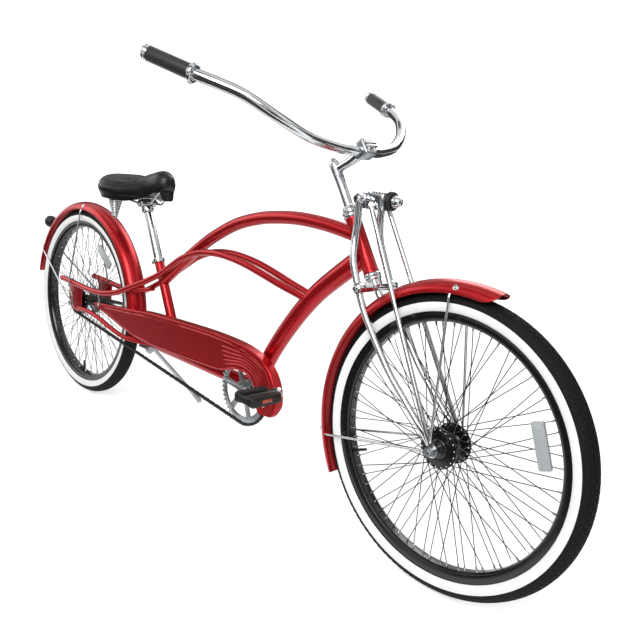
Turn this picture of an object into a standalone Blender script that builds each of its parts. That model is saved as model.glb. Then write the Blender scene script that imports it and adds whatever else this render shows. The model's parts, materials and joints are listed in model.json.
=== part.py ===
# Stretch cruiser bicycle with a springer fork, parked on its side stand.
# Metres. The bicycle is laid out upright, X forward, Y to its left, Z up, with the
# rear wheel's contact point at the origin. The root empty then leans it onto the stand
# and sets it down with the middle of its bounding box's floor at the world's origin.

import math

import bmesh
import bpy
from mathutils import Matrix, Vector

# Clearance between pieces that touch, seat or turn in each other
GAP = 0.0003

# Stance
LEAN = math.radians(7.4)
WHEELBASE = 1.579
DRAWN_WHEELBASE = 1.579


def ahead(x):
    """A place drawn for the usual wheelbase, moved to suit the one above. The seat and all
    behind it stay, and the bottom bracket and all before it go with the front wheel."""
    share = min(max((x - 0.460) / 0.440, 0.0), 1.0)
    return x + (WHEELBASE - DRAWN_WHEELBASE) * share


def all_ahead(points):
    return [(ahead(point[0]), *point[1:]) for point in points]


# Wheels
TYRE_RADIUS = 0.333
TYRE_SECTION = 0.0265
RIM_SEAT_RADIUS = TYRE_RADIUS - 0.0455
RIM_DEPTH = 0.0195
RIM_HALF_WIDTH = 0.0185
RIM_WALL = 0.0022
WHEEL_STEPS = 32
FLANGE_RADIUS = 0.045
FLANGE_HALF_THICKNESS = 0.0022
FLANGE_OFFSET = 0.027
HUB_RADIUS = 0.0165
SPOKES_PER_FLANGE = 18
SPOKE_RADIUS = 0.0009
SPOKE_TURN = math.radians(42.0)
SPOKE_STAGGER = 0.0024
AXLE_RADIUS = 0.005
FRONT_HUB_HALF = 0.0495
REAR_HUB_HALF = 0.0495
NUT_RADIUS = 0.0095
NUT_LENGTH = 0.010

# Frame tubes
HEAD_ANGLE = math.radians(57.8)
HEAD_TOP = (ahead(1.2475), 0.780)
HEAD_LENGTH = 0.140
HEAD_RADIUS = 0.018
STEERER_RADIUS = 0.0127
QUILL_RADIUS = 0.0111
TOP_TUBE_RADIUS = 0.017
DOWN_TUBE_RADIUS = 0.0250
DOWN_TUBE_END_RADIUS = 0.0215
TWIN_RADIUS = 0.0095
SEAT_TUBE_RADIUS = 0.015
SEAT_POST_RADIUS = 0.0133
SEAT_ANGLE = math.atan(2.0)
SEAT_TOP = (0.4470, 0.560)
SEAT_TUBE_LENGTH = 0.32
SEAT_POST_TOP_Z = 0.712
SEAT_POST_INSERT = 0.110
LOWER_TUBE_RADIUS = 0.019
LOWER_TUBE_REAR_X = 0.432
CHAINSTAY_RADIUS = 0.008
BRACKET = (ahead(0.957), 0.280)
BRACKET_RADIUS = 0.0285
BRACKET_HALF = 0.034
UPPER_BRIDGE = (0.3570, 0.4410)
LOWER_BRIDGE = (0.3880, 0.2815)
BRIDGE_RADIUS = 0.006
DROPOUT_INNER = 0.0550
DROPOUT_THICKNESS = 0.005

# Saddle
RAIL_RADIUS = 0.0035
SADDLE_REAR_X = 0.222
SADDLE_NOSE_X = 0.500
SADDLE_HALF_WIDTH = 0.122
SADDLE_NOSE_HALF = 0.034
SADDLE_PAN_Z = 0.7450
SADDLE_PAN_HALF_THICKNESS = 0.0015
SADDLE_SPRING_X = 0.2780
SADDLE_SPRING_Y = 0.0600
SADDLE_SPRING_HEIGHT = 0.050
SADDLE_SPRING_TURNS = 6.0
SADDLE_SPRING_TOP_RADIUS = 0.0185
SADDLE_SPRING_LOW_RADIUS = 0.0065
SADDLE_CUP_DEPTH = 0.012

# Chain drive
CHAIN_PITCH = 0.0127
CHAINRING_TEETH = 46
SPROCKET_TEETH = 18
CHAINLINE = 0.045
TOOTH_THICKNESS = 0.0024
CHAIN_HALF_WIDTH = 0.0045
CHAIN_GROOVE = 0.0034
CRANK_LENGTH = 0.171
CRANK_ANGLE = math.radians(16.3)
CRANK_ARM_Y = 0.0740
SPINDLE_RADIUS = 0.0085
CRANK_BOSS_HALF = 0.0085
PEDAL_CLEARANCE = 0.004
PEDAL_SPINDLE_RADIUS = 0.0055
PEDAL_LENGTH = 0.096
PEDAL_WIDTH = 0.072
PEDAL_HEIGHT = 0.026
GUARD_Y = 0.0600
GUARD_SHEET = 0.0012
GUARD_FLANGE = 0.0280
GUARD_POST_X = 0.1850
GUARD_TOP = all_ahead([
    (0.1530, 0.3640), (0.2500, 0.3740), (0.3900, 0.3870), (0.4930, 0.3980), (0.6630, 0.4070),
    (0.8130, 0.4120), (0.9200, 0.4100), (0.9810, 0.4030), (1.0330, 0.3880), (1.0700, 0.3610),
    (1.0920, 0.3250), (1.0990, 0.2850), (1.0930, 0.2470),
])
GUARD_BOTTOM = all_ahead([
    (1.0830, 0.2420), (1.0400, 0.2400), (1.0250, 0.2480), (1.0220, 0.2800), (1.0050, 0.3150),
    (0.9800, 0.3330), (0.9330, 0.3350), (0.8820, 0.3180), (0.7470, 0.3080), (0.5810, 0.3010),
    (0.5080, 0.2990), (0.4200, 0.3050), (0.3000, 0.3270), (0.1530, 0.3530),
])

# Springer fork
FORK_PIVOT = (ahead(1.3380), 0.6345)
PIVOT_PIN_RADIUS = 0.005
PIVOT_BOSS = (0.0475, 0.0665)
SPRING_HEIGHT = 0.829
SPRING_BACK_X = ahead(1.2965)
SPRING_FRONT_X = ahead(1.3470)
SPRING_COIL_RADIUS = 0.0160
SPRING_WIRE_RADIUS = 0.0024
SPRING_TURNS = 5.5
YOKE_BACK_X = ahead(1.2860)
YOKE_WALL = 0.0030
YOKE_HALF_INSIDE = SPRING_COIL_RADIUS + SPRING_WIRE_RADIUS + 0.0011
YOKE_BOLT_X = ahead(1.2970)
SPRING_BOLT_BACK_X = ahead(1.3000)
SPRING_BOLT_RADIUS = 0.0040
BLADE_RADIUS = 0.0092
BLADE_END_RADIUS = 0.0068
BLADE_TOP_Y = 0.0400
BLADE_TIP_Y = 0.0525
ROD_RADIUS = 0.0055
ROD_TOP = (ahead(1.3200), YOKE_HALF_INSIDE + YOKE_WALL + ROD_RADIUS + 0.0008, 0.8220)
ROD_EYE_Y = 0.0570
FRONT_STAY_Y = 0.0588

# Handlebar
BAR_RADIUS = 0.0125
GRIP_RADIUS = 0.0165
BAR_HALF_WIDTH = 0.3730
BAR_SHARE = BAR_HALF_WIDTH / 0.3730
BAR_MIDDLE = (ahead(1.2590), 0.0, 0.9330)
GRIP_START = (ahead(1.0520), 0.3220 * BAR_SHARE, 1.0550)
GRIP_END = (ahead(0.9350), BAR_HALF_WIDTH, 1.0960)
COLLAR_RADIUS = 0.0210
COLLAR_LENGTH = 0.012

# Fenders
FENDER_CROWN = TYRE_RADIUS + 0.0255
FENDER_EDGE = TYRE_RADIUS - 0.0005
FENDER_HALF_WIDTH = 0.034
FENDER_SHEET = 0.0012
STAY_RADIUS = 0.0025
REAR_FENDER_ARC = (-9.0, 171.0)
FRONT_FENDER_ARC = (76.0, 210.0)
TAIL_LAMP = (-0.288, 0.0, 0.586)

# Stand
STAND_PIVOT = (0.3750, 0.0380, 0.2460)
STAND_FOOT_XY = (0.4080, 0.2180)
STAND_FOOT_RADIUS = 0.009
STAND_LEG_RADIUS = 0.006
STAND_PIN_RADIUS = 0.0040
STAND_STOWED = (-0.997, 0.045, 0.065)

# Values worked out from the ones above
STEER_DOWN = Vector((math.cos(HEAD_ANGLE), 0.0, -math.sin(HEAD_ANGLE)))
SEAT_UP = Vector((-math.cos(SEAT_ANGLE), 0.0, math.sin(SEAT_ANGLE)))
REAR_HUB = Vector((0.0, 0.0, TYRE_RADIUS))
FRONT_HUB = Vector((WHEELBASE, 0.0, TYRE_RADIUS))
HEAD_POINT = Vector((HEAD_TOP[0], 0.0, HEAD_TOP[1]))
SEAT_POINT = Vector((SEAT_TOP[0], 0.0, SEAT_TOP[1]))
CRANK_POINT = Vector((BRACKET[0], 0.0, BRACKET[1]))
PIVOT_POINT = Vector((FORK_PIVOT[0], 0.0, FORK_PIVOT[1]))
CHAINRING_RADIUS = CHAIN_PITCH / (2.0 * math.sin(math.pi / CHAINRING_TEETH))
SPROCKET_RADIUS = CHAIN_PITCH / (2.0 * math.sin(math.pi / SPROCKET_TEETH))
CRANK_DIRECTION = Vector((math.cos(CRANK_ANGLE), 0.0, math.sin(CRANK_ANGLE)))
STEPS = 16
SMALL_STEPS = 12

for leftover in list(bpy.data.objects):
    bpy.data.objects.remove(leftover, do_unlink=True)

scene = bpy.context.scene
parts = bpy.data.collections.new("bicycle")
cutters = bpy.data.collections.new("cutters")
scene.collection.children.link(parts)
scene.collection.children.link(cutters)


# Materials

def material(name, colour, roughness, metallic):
    made = bpy.data.materials.new(name)
    made.use_nodes = True
    shader = made.node_tree.nodes["Principled BSDF"]
    shader.inputs["Base Color"].default_value = (*colour, 1.0)
    shader.inputs["Roughness"].default_value = roughness
    shader.inputs["Metallic"].default_value = metallic
    return made


RED = material("red_enamel", (0.48, 0.012, 0.016), 0.25, 0.3)
CHROME = material("chrome", (0.78, 0.79, 0.80), 0.08, 1.0)
STEEL = material("zinc_steel", (0.45, 0.45, 0.45), 0.35, 1.0)
BLACK = material("black_enamel", (0.012, 0.012, 0.012), 0.35, 0.0)
RUBBER = material("rubber", (0.010, 0.010, 0.010), 0.7, 0.0)
VINYL = material("black_vinyl", (0.014, 0.014, 0.014), 0.45, 0.0)
PLASTIC = material("black_plastic", (0.015, 0.015, 0.015), 0.5, 0.0)


# Frames of reference: the root and one empty on each joint's axis

frames = {}


def axis_empty(name, point, direction, parent):
    empty = bpy.data.objects.new(name, None)
    parts.objects.link(empty)
    turn = Vector((0.0, 0.0, 1.0)).rotation_difference(Vector(direction))
    world = Matrix.Translation(point) @ turn.to_matrix().to_4x4()
    empty.empty_display_size = 0.05
    if parent:
        empty.parent = frames[parent][0]
        empty.matrix_basis = frames[parent][1].inverted() @ world
    else:
        empty.matrix_basis = world
    frames[name] = (empty, world)


def keep(shape, name, finish, frame="bicycle_frame"):
    """Applies a shape's cuts and joins, names it, colours it and hangs it on its frame."""
    if shape.modifiers:
        shape = settle(shape)
        smooth_shading(shape)
    shape.name = name
    shape.data.name = name
    shape.data.materials.clear()
    shape.data.materials.append(finish)
    empty, world = frames[frame]
    shape.parent = empty
    shape.matrix_parent_inverse = world.inverted()
    for holder in list(shape.users_collection):
        holder.objects.unlink(shape)
    parts.objects.link(shape)
    return shape


# Shape helpers

def add_object(name, data):
    made = bpy.data.objects.new(name, data)
    parts.objects.link(made)
    return made


def facing(point, direction):
    turn = Vector((0.0, 0.0, 1.0)).rotation_difference(Vector(direction).normalized())
    return Matrix.Translation(point) @ turn.to_matrix().to_4x4()


def settle(shape):
    """Turns a curve, or an object with modifiers, into a plain closed mesh."""
    bpy.context.view_layer.update()
    graph = bpy.context.evaluated_depsgraph_get()
    mesh = bpy.data.meshes.new_from_object(shape.evaluated_get(graph))
    plain = bpy.data.objects.new(shape.name, mesh)
    plain.matrix_world = shape.matrix_world.copy()
    parts.objects.link(plain)
    bpy.data.objects.remove(shape, do_unlink=True)
    tidy = bmesh.new()
    tidy.from_mesh(mesh)
    bmesh.ops.remove_doubles(tidy, verts=tidy.verts, dist=0.00001)
    bmesh.ops.dissolve_degenerate(tidy, edges=tidy.edges, dist=0.00001)
    bmesh.ops.recalc_face_normals(tidy, faces=tidy.faces)
    tidy.to_mesh(mesh)
    tidy.free()
    return plain


def smooth_shading(shape, angle=35.0):
    shape.data.shade_smooth()
    shape.data.set_sharp_from_angle(angle=math.radians(angle))


def turned(profile, point, direction, steps=STEPS, arc=360.0, closed=True):
    """A profile of (radius, height) pairs turned about an axis through point.
    A closed profile is a ring's section; an open one runs from the axis to the axis."""
    outline = list(profile)
    area = 0.0
    for (r0, h0), (r1, h1) in zip(outline, outline[1:] + outline[:1]):
        area += r0 * h1 - r1 * h0
    if area > 0.0:
        outline.reverse()
    mesh = bpy.data.meshes.new("turned")
    points = [(radius, 0.0, height) for radius, height in outline]
    edges = [(i, i + 1) for i in range(len(points) - 1)]
    if closed:
        edges.append((len(points) - 1, 0))
    mesh.from_pydata(points, edges, [])
    shape = add_object("turned", mesh)
    screw = shape.modifiers.new("Screw", "SCREW")
    screw.axis = "Z"
    screw.angle = math.radians(arc)
    screw.steps = steps
    screw.render_steps = steps
    screw.use_merge_vertices = True
    screw.merge_threshold = 0.00001
    shape.matrix_world = facing(point, direction)
    return shape


def rod(start, end, radius, end_radius=None, steps=STEPS):
    """A solid round bar or cone between two points."""
    start = Vector(start)
    end = Vector(end)
    length = (end - start).length
    far = radius if end_radius is None else end_radius
    profile = [(0.0, length), (far, length), (radius, 0.0), (0.0, 0.0)]
    return settle(turned(profile, start, end - start, steps, closed=False))


def hex_nut(start, end, radius):
    """A six-sided nut between two points, its corners clear of its bolt's own edges."""
    nut = rod(start, end, radius, steps=6)
    nut.matrix_world = nut.matrix_world @ Matrix.Rotation(math.radians(11.0), 4, "Z")
    return nut


def smooth_path(points, per_span=4):
    """Points on a smooth curve through the given ones."""
    given = [Vector(p) for p in points]
    ends = [given[0] * 2 - given[1], given[-1] * 2 - given[-2]]
    padded = [ends[0]] + given + [ends[1]]
    path = []
    for i in range(1, len(padded) - 2):
        p0, p1, p2, p3 = padded[i - 1:i + 3]
        for k in range(per_span):
            t = k / per_span
            path.append(
                0.5 * (2 * p1 + (p2 - p0) * t + (2 * p0 - 5 * p1 + 4 * p2 - p3) * t ** 2
                       + (3 * p1 - p0 - 3 * p2 + p3) * t ** 3)
            )
    path.append(given[-1])
    return path


def tube(path, radius, end_radius=None, resolution=3):
    """A round solid bar along a path, tapering evenly to end_radius."""
    curve = bpy.data.curves.new("tube", "CURVE")
    curve.dimensions = "3D"
    curve.bevel_depth = radius
    curve.bevel_resolution = resolution
    curve.use_fill_caps = True
    spline = curve.splines.new("POLY")
    spline.points.add(len(path) - 1)
    last = len(path) - 1
    for i, point in enumerate(path):
        spline.points[i].co = (*point, 1.0)
        far = radius if end_radius is None else end_radius
        spline.points[i].radius = 1.0 + (far / radius - 1.0) * i / last
    shape = settle(add_object("tube", curve))
    smooth_shading(shape)
    return shape


def plate(outlines, half_thickness, y):
    """A flat plate in the bicycle's X-Z plane, centred on y. Inner outlines are holes."""
    curve = bpy.data.curves.new("plate", "CURVE")
    curve.dimensions = "2D"
    curve.fill_mode = "BOTH"
    curve.extrude = half_thickness
    for outline in outlines:
        spline = curve.splines.new("POLY")
        spline.points.add(len(outline) - 1)
        spline.use_cyclic_u = True
        for corner, (x, z) in zip(spline.points, outline):
            corner.co = (x, z, 0.0, 1.0)
    shape = add_object("plate", curve)
    shape.matrix_world = Matrix.Translation((0.0, y, 0.0)) @ Matrix.Rotation(math.pi / 2, 4, "X")
    return settle(shape)


def box(low, high):
    mesh = bpy.data.meshes.new("box")
    cube = bmesh.new()
    bmesh.ops.create_cube(cube, size=1.0)
    size = Vector(high) - Vector(low)
    middle = (Vector(high) + Vector(low)) / 2
    bmesh.ops.scale(cube, vec=size, verts=cube.verts)
    bmesh.ops.translate(cube, vec=middle, verts=cube.verts)
    cube.to_mesh(mesh)
    cube.free()
    return add_object("box", mesh)


def arc(centre, radius, start, end, count):
    """Points on an arc, in degrees from start to end, as (x, z) pairs."""
    points = []
    for i in range(count):
        angle = math.radians(start + (end - start) * i / (count - 1))
        points.append((centre[0] + radius * math.cos(angle),
                       centre[1] + radius * math.sin(angle)))
    return points


def combine(shape, tool, operation):
    step = shape.modifiers.new(operation.title(), "BOOLEAN")
    step.operation = operation
    step.solver = "EXACT"
    step.object = tool
    for holder in list(tool.users_collection):
        holder.objects.unlink(tool)
    if tool.name not in cutters.objects:
        cutters.objects.link(tool)
    tool.name = "cutter"
    tool.parent = frames["bicycle_frame"][0]
    tool.hide_render = True
    tool.display_type = "WIRE"


def cut(shape, *tools):
    for tool in tools:
        combine(shape, tool, "DIFFERENCE")
    return shape


def fuse(shape, *tools):
    for tool in tools:
        combine(shape, tool, "UNION")
    return shape


def mirrored(points, side):
    """Points given for the left side, with positive Y, moved to the side wanted."""
    return [Vector((x, side * y, z)) for x, y, z in points]


SIDES = {"right": -1.0, "left": 1.0}


def polar(hub, angle, radius, y=0.0):
    turn = math.radians(angle)
    return Vector((hub.x + radius * math.cos(turn), y, hub.z + radius * math.sin(turn)))


# Frame paths, shared by the tubes and by what is cut to fit them

def steer(height):
    """A point on the steering axis, height above the head tube's top."""
    return HEAD_POINT - STEER_DOWN * height


TOP_TUBE_PATH = smooth_path(all_ahead([
    (1.2600, 0.0, 0.7430), (1.2100, 0.0, 0.7500), (1.1480, 0.0, 0.7560), (1.0700, 0.0, 0.7580),
    (0.9900, 0.0, 0.7520), (0.9150, 0.0, 0.7400), (0.8230, 0.0, 0.7130), (0.7230, 0.0, 0.6640),
    (0.6400, 0.0, 0.6110), (0.5600, 0.0, 0.5530), (0.4850, 0.0, 0.4950),
]), 2)
DOWN_TUBE_PATH = smooth_path(all_ahead([
    (1.3020, 0.0, 0.7000), (1.2620, 0.0, 0.6720), (1.2140, 0.0, 0.6340), (1.1590, 0.0, 0.5870),
    (1.1150, 0.0, 0.5400), (1.0750, 0.0, 0.4900), (1.0310, 0.0, 0.4280), (0.9940, 0.0, 0.3650),
    (0.9640, 0.0, 0.2960),
]), 2)
TWIN_SIDE = TOP_TUBE_RADIUS + TWIN_RADIUS + GAP
TWIN_PATH = smooth_path(all_ahead([
    (-0.0900, 0.0620, 0.4090), (-0.0150, 0.0620, 0.4075), (0.0600, 0.0620, 0.4045),
    (0.1350, 0.0620, 0.4030), (0.2100, 0.0605, 0.4070), (0.2900, 0.0540, 0.4240),
    (0.3750, 0.0440, 0.4600), (0.4400, 0.0345, 0.4890), (0.5000, TWIN_SIDE, 0.5200),
    (0.5600, TWIN_SIDE, 0.5560), (0.6150, TWIN_SIDE, 0.5880), (0.6900, 0.0262, 0.6150),
    (0.7650, 0.0255, 0.6250), (0.8300, 0.0250, 0.6240), (0.9000, 0.0245, 0.6160),
    (0.9700, 0.0235, 0.6020), (1.0400, 0.0220, 0.5860), (1.1000, 0.0195, 0.5740),
    (1.1380, 0.0170, 0.5640),
]), 1)
CHAINSTAY_PATH = smooth_path([
    (0.0400, 0.0585, 0.3200), (0.0900, 0.0585, 0.3230), (0.1400, 0.0580, 0.3205),
    (0.1950, 0.0570, 0.3120), (0.2500, 0.0550, 0.2990), (0.3050, 0.0515, 0.2870),
    (0.3550, 0.0440, 0.2815), (0.4050, 0.0310, 0.2815), (0.4550, 0.0110, 0.2830),
], 1)


def head_cutter():
    return rod(steer(0.05), steer(-HEAD_LENGTH - 0.05), HEAD_RADIUS + GAP)


def bracket_cutter():
    return rod((BRACKET[0], 0.08, BRACKET[1]), (BRACKET[0], -0.08, BRACKET[1]), BRACKET_RADIUS + GAP)


def lower_tube_bar(extra=0.0):
    start = (BRACKET[0] - 0.002, 0.0, BRACKET[1] + 0.003)
    return rod(start, (LOWER_TUBE_REAR_X - extra, 0.0, BRACKET[1] + 0.004), LOWER_TUBE_RADIUS + extra)


def twin_bar(side, extra=0.0):
    return tube(mirrored(TWIN_PATH, side), TWIN_RADIUS + extra, resolution=2)


def chainstay_bar(side, extra=0.0):
    return tube(mirrored(CHAINSTAY_PATH, side), CHAINSTAY_RADIUS + extra, resolution=2)


def down_tube_bar(extra=0.0):
    return tube(DOWN_TUBE_PATH, DOWN_TUBE_RADIUS + extra, DOWN_TUBE_END_RADIUS + extra, 2)


def fender_steps(arc_degrees):
    return round((arc_degrees[1] - arc_degrees[0]) / 9.0)


def fender_stub(start, radius):
    """A radial stub from start down to the rear fender's crown, whose facets it must clear."""
    outward = Vector(start) - REAR_HUB
    angle = math.degrees(math.atan2(outward.z, outward.x))
    low, high = REAR_FENDER_ARC
    facet = (high - low) / fender_steps(REAR_FENDER_ARC)
    off_middle = math.radians((angle - low) % facet - facet / 2)
    crown = FENDER_CROWN * math.cos(math.radians(facet / 2)) / math.cos(off_middle)
    seat = crown + radius * math.sin(abs(off_middle)) + GAP
    return rod(start, REAR_HUB + outward.normalized() * seat, radius, steps=SMALL_STEPS)


def fender_bridge(place, half_width):
    """A bar across the frame at (x, z), and the stub that holds the rear fender to it."""
    middle = Vector((place[0], 0.0, place[1]))
    across = Vector((0.0, half_width, 0.0))
    bar = rod(middle - across, middle + across, BRIDGE_RADIUS, steps=SMALL_STEPS)
    return bar, fender_stub(middle, 0.004)


# The frame

def make_head_tube():
    wall = [(HEAD_RADIUS, 0.0), (HEAD_RADIUS, HEAD_LENGTH),
            (STEERER_RADIUS + 0.0025, HEAD_LENGTH), (STEERER_RADIUS + 0.0025, 0.0)]
    head = settle(turned(wall, steer(-HEAD_LENGTH), -STEER_DOWN))
    smooth_shading(head)
    keep(head, "head_tube", RED)
    cup = [(HEAD_RADIUS + 0.0005, GAP), (HEAD_RADIUS + 0.0022, 0.0035), (HEAD_RADIUS + 0.0022, 0.0075),
           (HEAD_RADIUS - 0.0005, 0.0100), (STEERER_RADIUS + GAP, 0.0100), (STEERER_RADIUS + GAP, GAP)]
    keep(turned(cup, steer(0.0), -STEER_DOWN), "headset_top_cup", CHROME)
    keep(turned(cup, steer(-HEAD_LENGTH), STEER_DOWN), "headset_bottom_cup", CHROME)


def make_main_tubes():
    top = tube(TOP_TUBE_PATH, TOP_TUBE_RADIUS, resolution=2)
    seat_foot = SEAT_POINT - SEAT_UP * SEAT_TUBE_LENGTH
    seat_hole = rod(SEAT_POINT + SEAT_UP * 0.02, seat_foot, SEAT_TUBE_RADIUS + GAP)
    cut(top, head_cutter(), seat_hole)
    keep(top, "top_tube", RED)

    down = down_tube_bar()
    cut(down, head_cutter(), bracket_cutter())
    keep(down, "down_tube", RED)

    lower = lower_tube_bar()
    cut(lower, bracket_cutter(), down_tube_bar(GAP))
    keep(lower, "lower_tube", RED)


def make_twin_tubes():
    for name, side in SIDES.items():
        twin = twin_bar(side)
        if name == "right":
            fuse(twin, *fender_bridge(UPPER_BRIDGE, 0.046))
            cut(twin, twin_bar(-side, GAP))
        cut(twin, down_tube_bar(GAP))
        keep(twin, "twin_tube_" + name, RED)


def make_seat_tube():
    wall = [(SEAT_TUBE_RADIUS, 0.0), (SEAT_TUBE_RADIUS, SEAT_TUBE_LENGTH),
            (SEAT_POST_RADIUS + GAP, SEAT_TUBE_LENGTH), (SEAT_POST_RADIUS + GAP, 0.0)]
    seat = settle(turned(wall, SEAT_POINT - SEAT_UP * SEAT_TUBE_LENGTH, SEAT_UP))
    cut(seat, lower_tube_bar(GAP))
    smooth_shading(seat)
    keep(seat, "seat_tube", RED)
    collar = [(SEAT_TUBE_RADIUS + 0.0035, 0.0), (SEAT_TUBE_RADIUS + 0.0035, 0.014),
              (SEAT_TUBE_RADIUS + GAP, 0.014), (SEAT_TUBE_RADIUS + GAP, 0.0)]
    clamp = settle(turned(collar, SEAT_POINT - SEAT_UP * 0.014, SEAT_UP))
    rearward = Vector((-SEAT_UP.z, 0.0, SEAT_UP.x))
    back = SEAT_POINT - SEAT_UP * 0.007 + rearward * (SEAT_TUBE_RADIUS + 0.0055)
    fuse(clamp, rod(back + Vector((0, -0.012, 0)), back + Vector((0, 0.012, 0)), 0.0045, steps=12))
    keep(clamp, "seat_clamp", CHROME)


def make_rear_triangle():
    plate_middle = DROPOUT_INNER + DROPOUT_THICKNESS / 2
    outline = [(-0.040, 0.4050), (0.065, 0.4020), (0.060, 0.3480), (0.052, 0.3270), (0.050, 0.3100),
               (0.014, 0.3090), (-0.012, 0.3180), (-0.022, 0.3330), (-0.028, 0.3600)]
    for name, side in SIDES.items():
        stay = chainstay_bar(side)
        end = plate([outline], DROPOUT_THICKNESS / 2, side * plate_middle)
        slot = box((-0.05, side * plate_middle - 0.01, TYRE_RADIUS - AXLE_RADIUS - GAP),
                   (0.0, side * plate_middle + 0.01, TYRE_RADIUS + AXLE_RADIUS + GAP))
        eye = rod((0.0, side * 0.07, TYRE_RADIUS), (0.0, side * 0.05, TYRE_RADIUS), AXLE_RADIUS + GAP)
        fuse(stay, end)
        cut(stay, slot, eye, twin_bar(side, GAP), lower_tube_bar(GAP))
        if name == "right":
            fuse(stay, *fender_bridge(LOWER_BRIDGE, 0.036))
            cut(stay, chainstay_bar(-side, GAP))
        keep(stay, "chainstay_" + name, RED)


def make_bracket_shell():
    half = BRACKET_HALF
    inner = BRACKET_RADIUS - 0.003
    bore = SPINDLE_RADIUS + 0.004
    section = [(BRACKET_RADIUS, -half), (BRACKET_RADIUS, half), (BRACKET_RADIUS + 0.002, half),
               (BRACKET_RADIUS + 0.002, half + 0.003), (bore, half + 0.004), (bore, half),
               (inner, half - 0.004), (inner, -half + 0.004), (bore, -half), (bore, -half - 0.004),
               (BRACKET_RADIUS + 0.002, -half - 0.003), (BRACKET_RADIUS + 0.002, -half)]
    shell = settle(turned(section, CRANK_POINT, (0.0, 1.0, 0.0)))
    smooth_shading(shell)
    keep(shell, "bottom_bracket_shell", RED)


def make_saddle():
    foot = SEAT_POINT - SEAT_UP * SEAT_POST_INSERT
    head = SEAT_POINT + SEAT_UP * ((SEAT_POST_TOP_Z - SEAT_TOP[1]) / SEAT_UP.z)
    post = rod(foot, head, SEAT_POST_RADIUS)
    smooth_shading(post)
    keep(post, "seat_post", CHROME, "seat_slide")

    rail_z = head.z + 0.013
    clamp = rod(head + SEAT_UP * -0.016, head + SEAT_UP * 0.006, SEAT_POST_RADIUS + 0.006)
    cross = rod((head.x, -0.030, rail_z), (head.x, 0.030, rail_z), 0.0125)
    fuse(clamp, cross, rod((head.x, -0.036, rail_z), (head.x, 0.036, rail_z), 0.0045, steps=12))
    cut(clamp, rod(foot, head + SEAT_UP * GAP, SEAT_POST_RADIUS + GAP))
    for side in SIDES.values():
        cut(clamp, tube(rail_path(head.x, rail_z, side), RAIL_RADIUS + GAP, resolution=1))
    keep(clamp, "saddle_clamp", CHROME, "seat_slide")

    pan = plate([saddle_outline(0.93)], SADDLE_PAN_HALF_THICKNESS, 0.0)
    pan.matrix_world = Matrix.Translation((0.0, 0.0, SADDLE_PAN_Z))
    rails = [tube(rail_path(head.x, rail_z, side), RAIL_RADIUS, resolution=1)
             for side in SIDES.values()]
    fuse(pan, *rails)
    for side in SIDES.values():
        seat = (SADDLE_SPRING_X, side * SADDLE_SPRING_Y, SADDLE_PAN_Z)
        cup = (seat[0], seat[1], SADDLE_PAN_Z - SADDLE_CUP_DEPTH)
        fuse(pan, rod(seat, cup, SADDLE_SPRING_TOP_RADIUS + 0.0030, SADDLE_SPRING_TOP_RADIUS + 0.0015))
    keep(pan, "saddle_base", STEEL, "seat_slide")
    make_saddle_springs()
    make_saddle_cover()


def saddle_half_width(u):
    """Half the saddle's width at u, 0 at the rear and 1 at the nose."""
    blend = 1.0 / (1.0 + math.exp((u - 0.52) * 11.0))
    wide = SADDLE_NOSE_HALF + (SADDLE_HALF_WIDTH - SADDLE_NOSE_HALF) * blend
    rear = math.sqrt(max(0.0, 1.0 - max(0.0, 0.22 - u) ** 2 / 0.22 ** 2 * 0.72))
    nose = math.sqrt(max(0.0, 1.0 - max(0.0, u - 0.90) ** 2 / 0.10 ** 2 * 0.75))
    return wide * rear * nose


def saddle_outline(scale):
    length = SADDLE_NOSE_X - SADDLE_REAR_X
    near = []
    for i in range(11):
        u = i / 10.0
        x = SADDLE_REAR_X + length * (0.5 + (u - 0.5) * scale)
        near.append((x, scale * saddle_half_width(u)))
    far = [(x, -width) for x, width in reversed(near)]
    return near + far


def rail_path(clamp_x, rail_z, side):
    front = SADDLE_NOSE_X - 0.045
    return smooth_path([
        (front, side * 0.010, SADDLE_PAN_Z - 0.0030), (front - 0.030, side * 0.014, rail_z + 0.006),
        (clamp_x + 0.030, side * 0.0215, rail_z), (clamp_x - 0.030, side * 0.0225, rail_z),
        (SADDLE_SPRING_X + 0.006, side * 0.029, SADDLE_PAN_Z - SADDLE_CUP_DEPTH),
        (SADDLE_SPRING_X - 0.018, side * 0.033, SADDLE_PAN_Z - 0.0030),
    ], 2)


def make_saddle_springs():
    per_turn = 8
    wire_radius = 0.0020
    top = SADDLE_PAN_Z - SADDLE_CUP_DEPTH - GAP - wire_radius - 0.0002
    count = int(SADDLE_SPRING_TURNS * per_turn)
    for name, side in SIDES.items():
        path = []
        for i in range(count + 1):
            t = i / count
            angle = 2.0 * math.pi * SADDLE_SPRING_TURNS * t
            radius = SADDLE_SPRING_TOP_RADIUS + (SADDLE_SPRING_LOW_RADIUS - SADDLE_SPRING_TOP_RADIUS) * t
            path.append(Vector((SADDLE_SPRING_X + radius * math.cos(angle),
                                side * (SADDLE_SPRING_Y + radius * math.sin(angle)),
                                top - SADDLE_SPRING_HEIGHT * t)))
        wire = tube(path, wire_radius, resolution=1)
        keep(wire, "saddle_spring_" + name, CHROME, "seat_slide")


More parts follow.
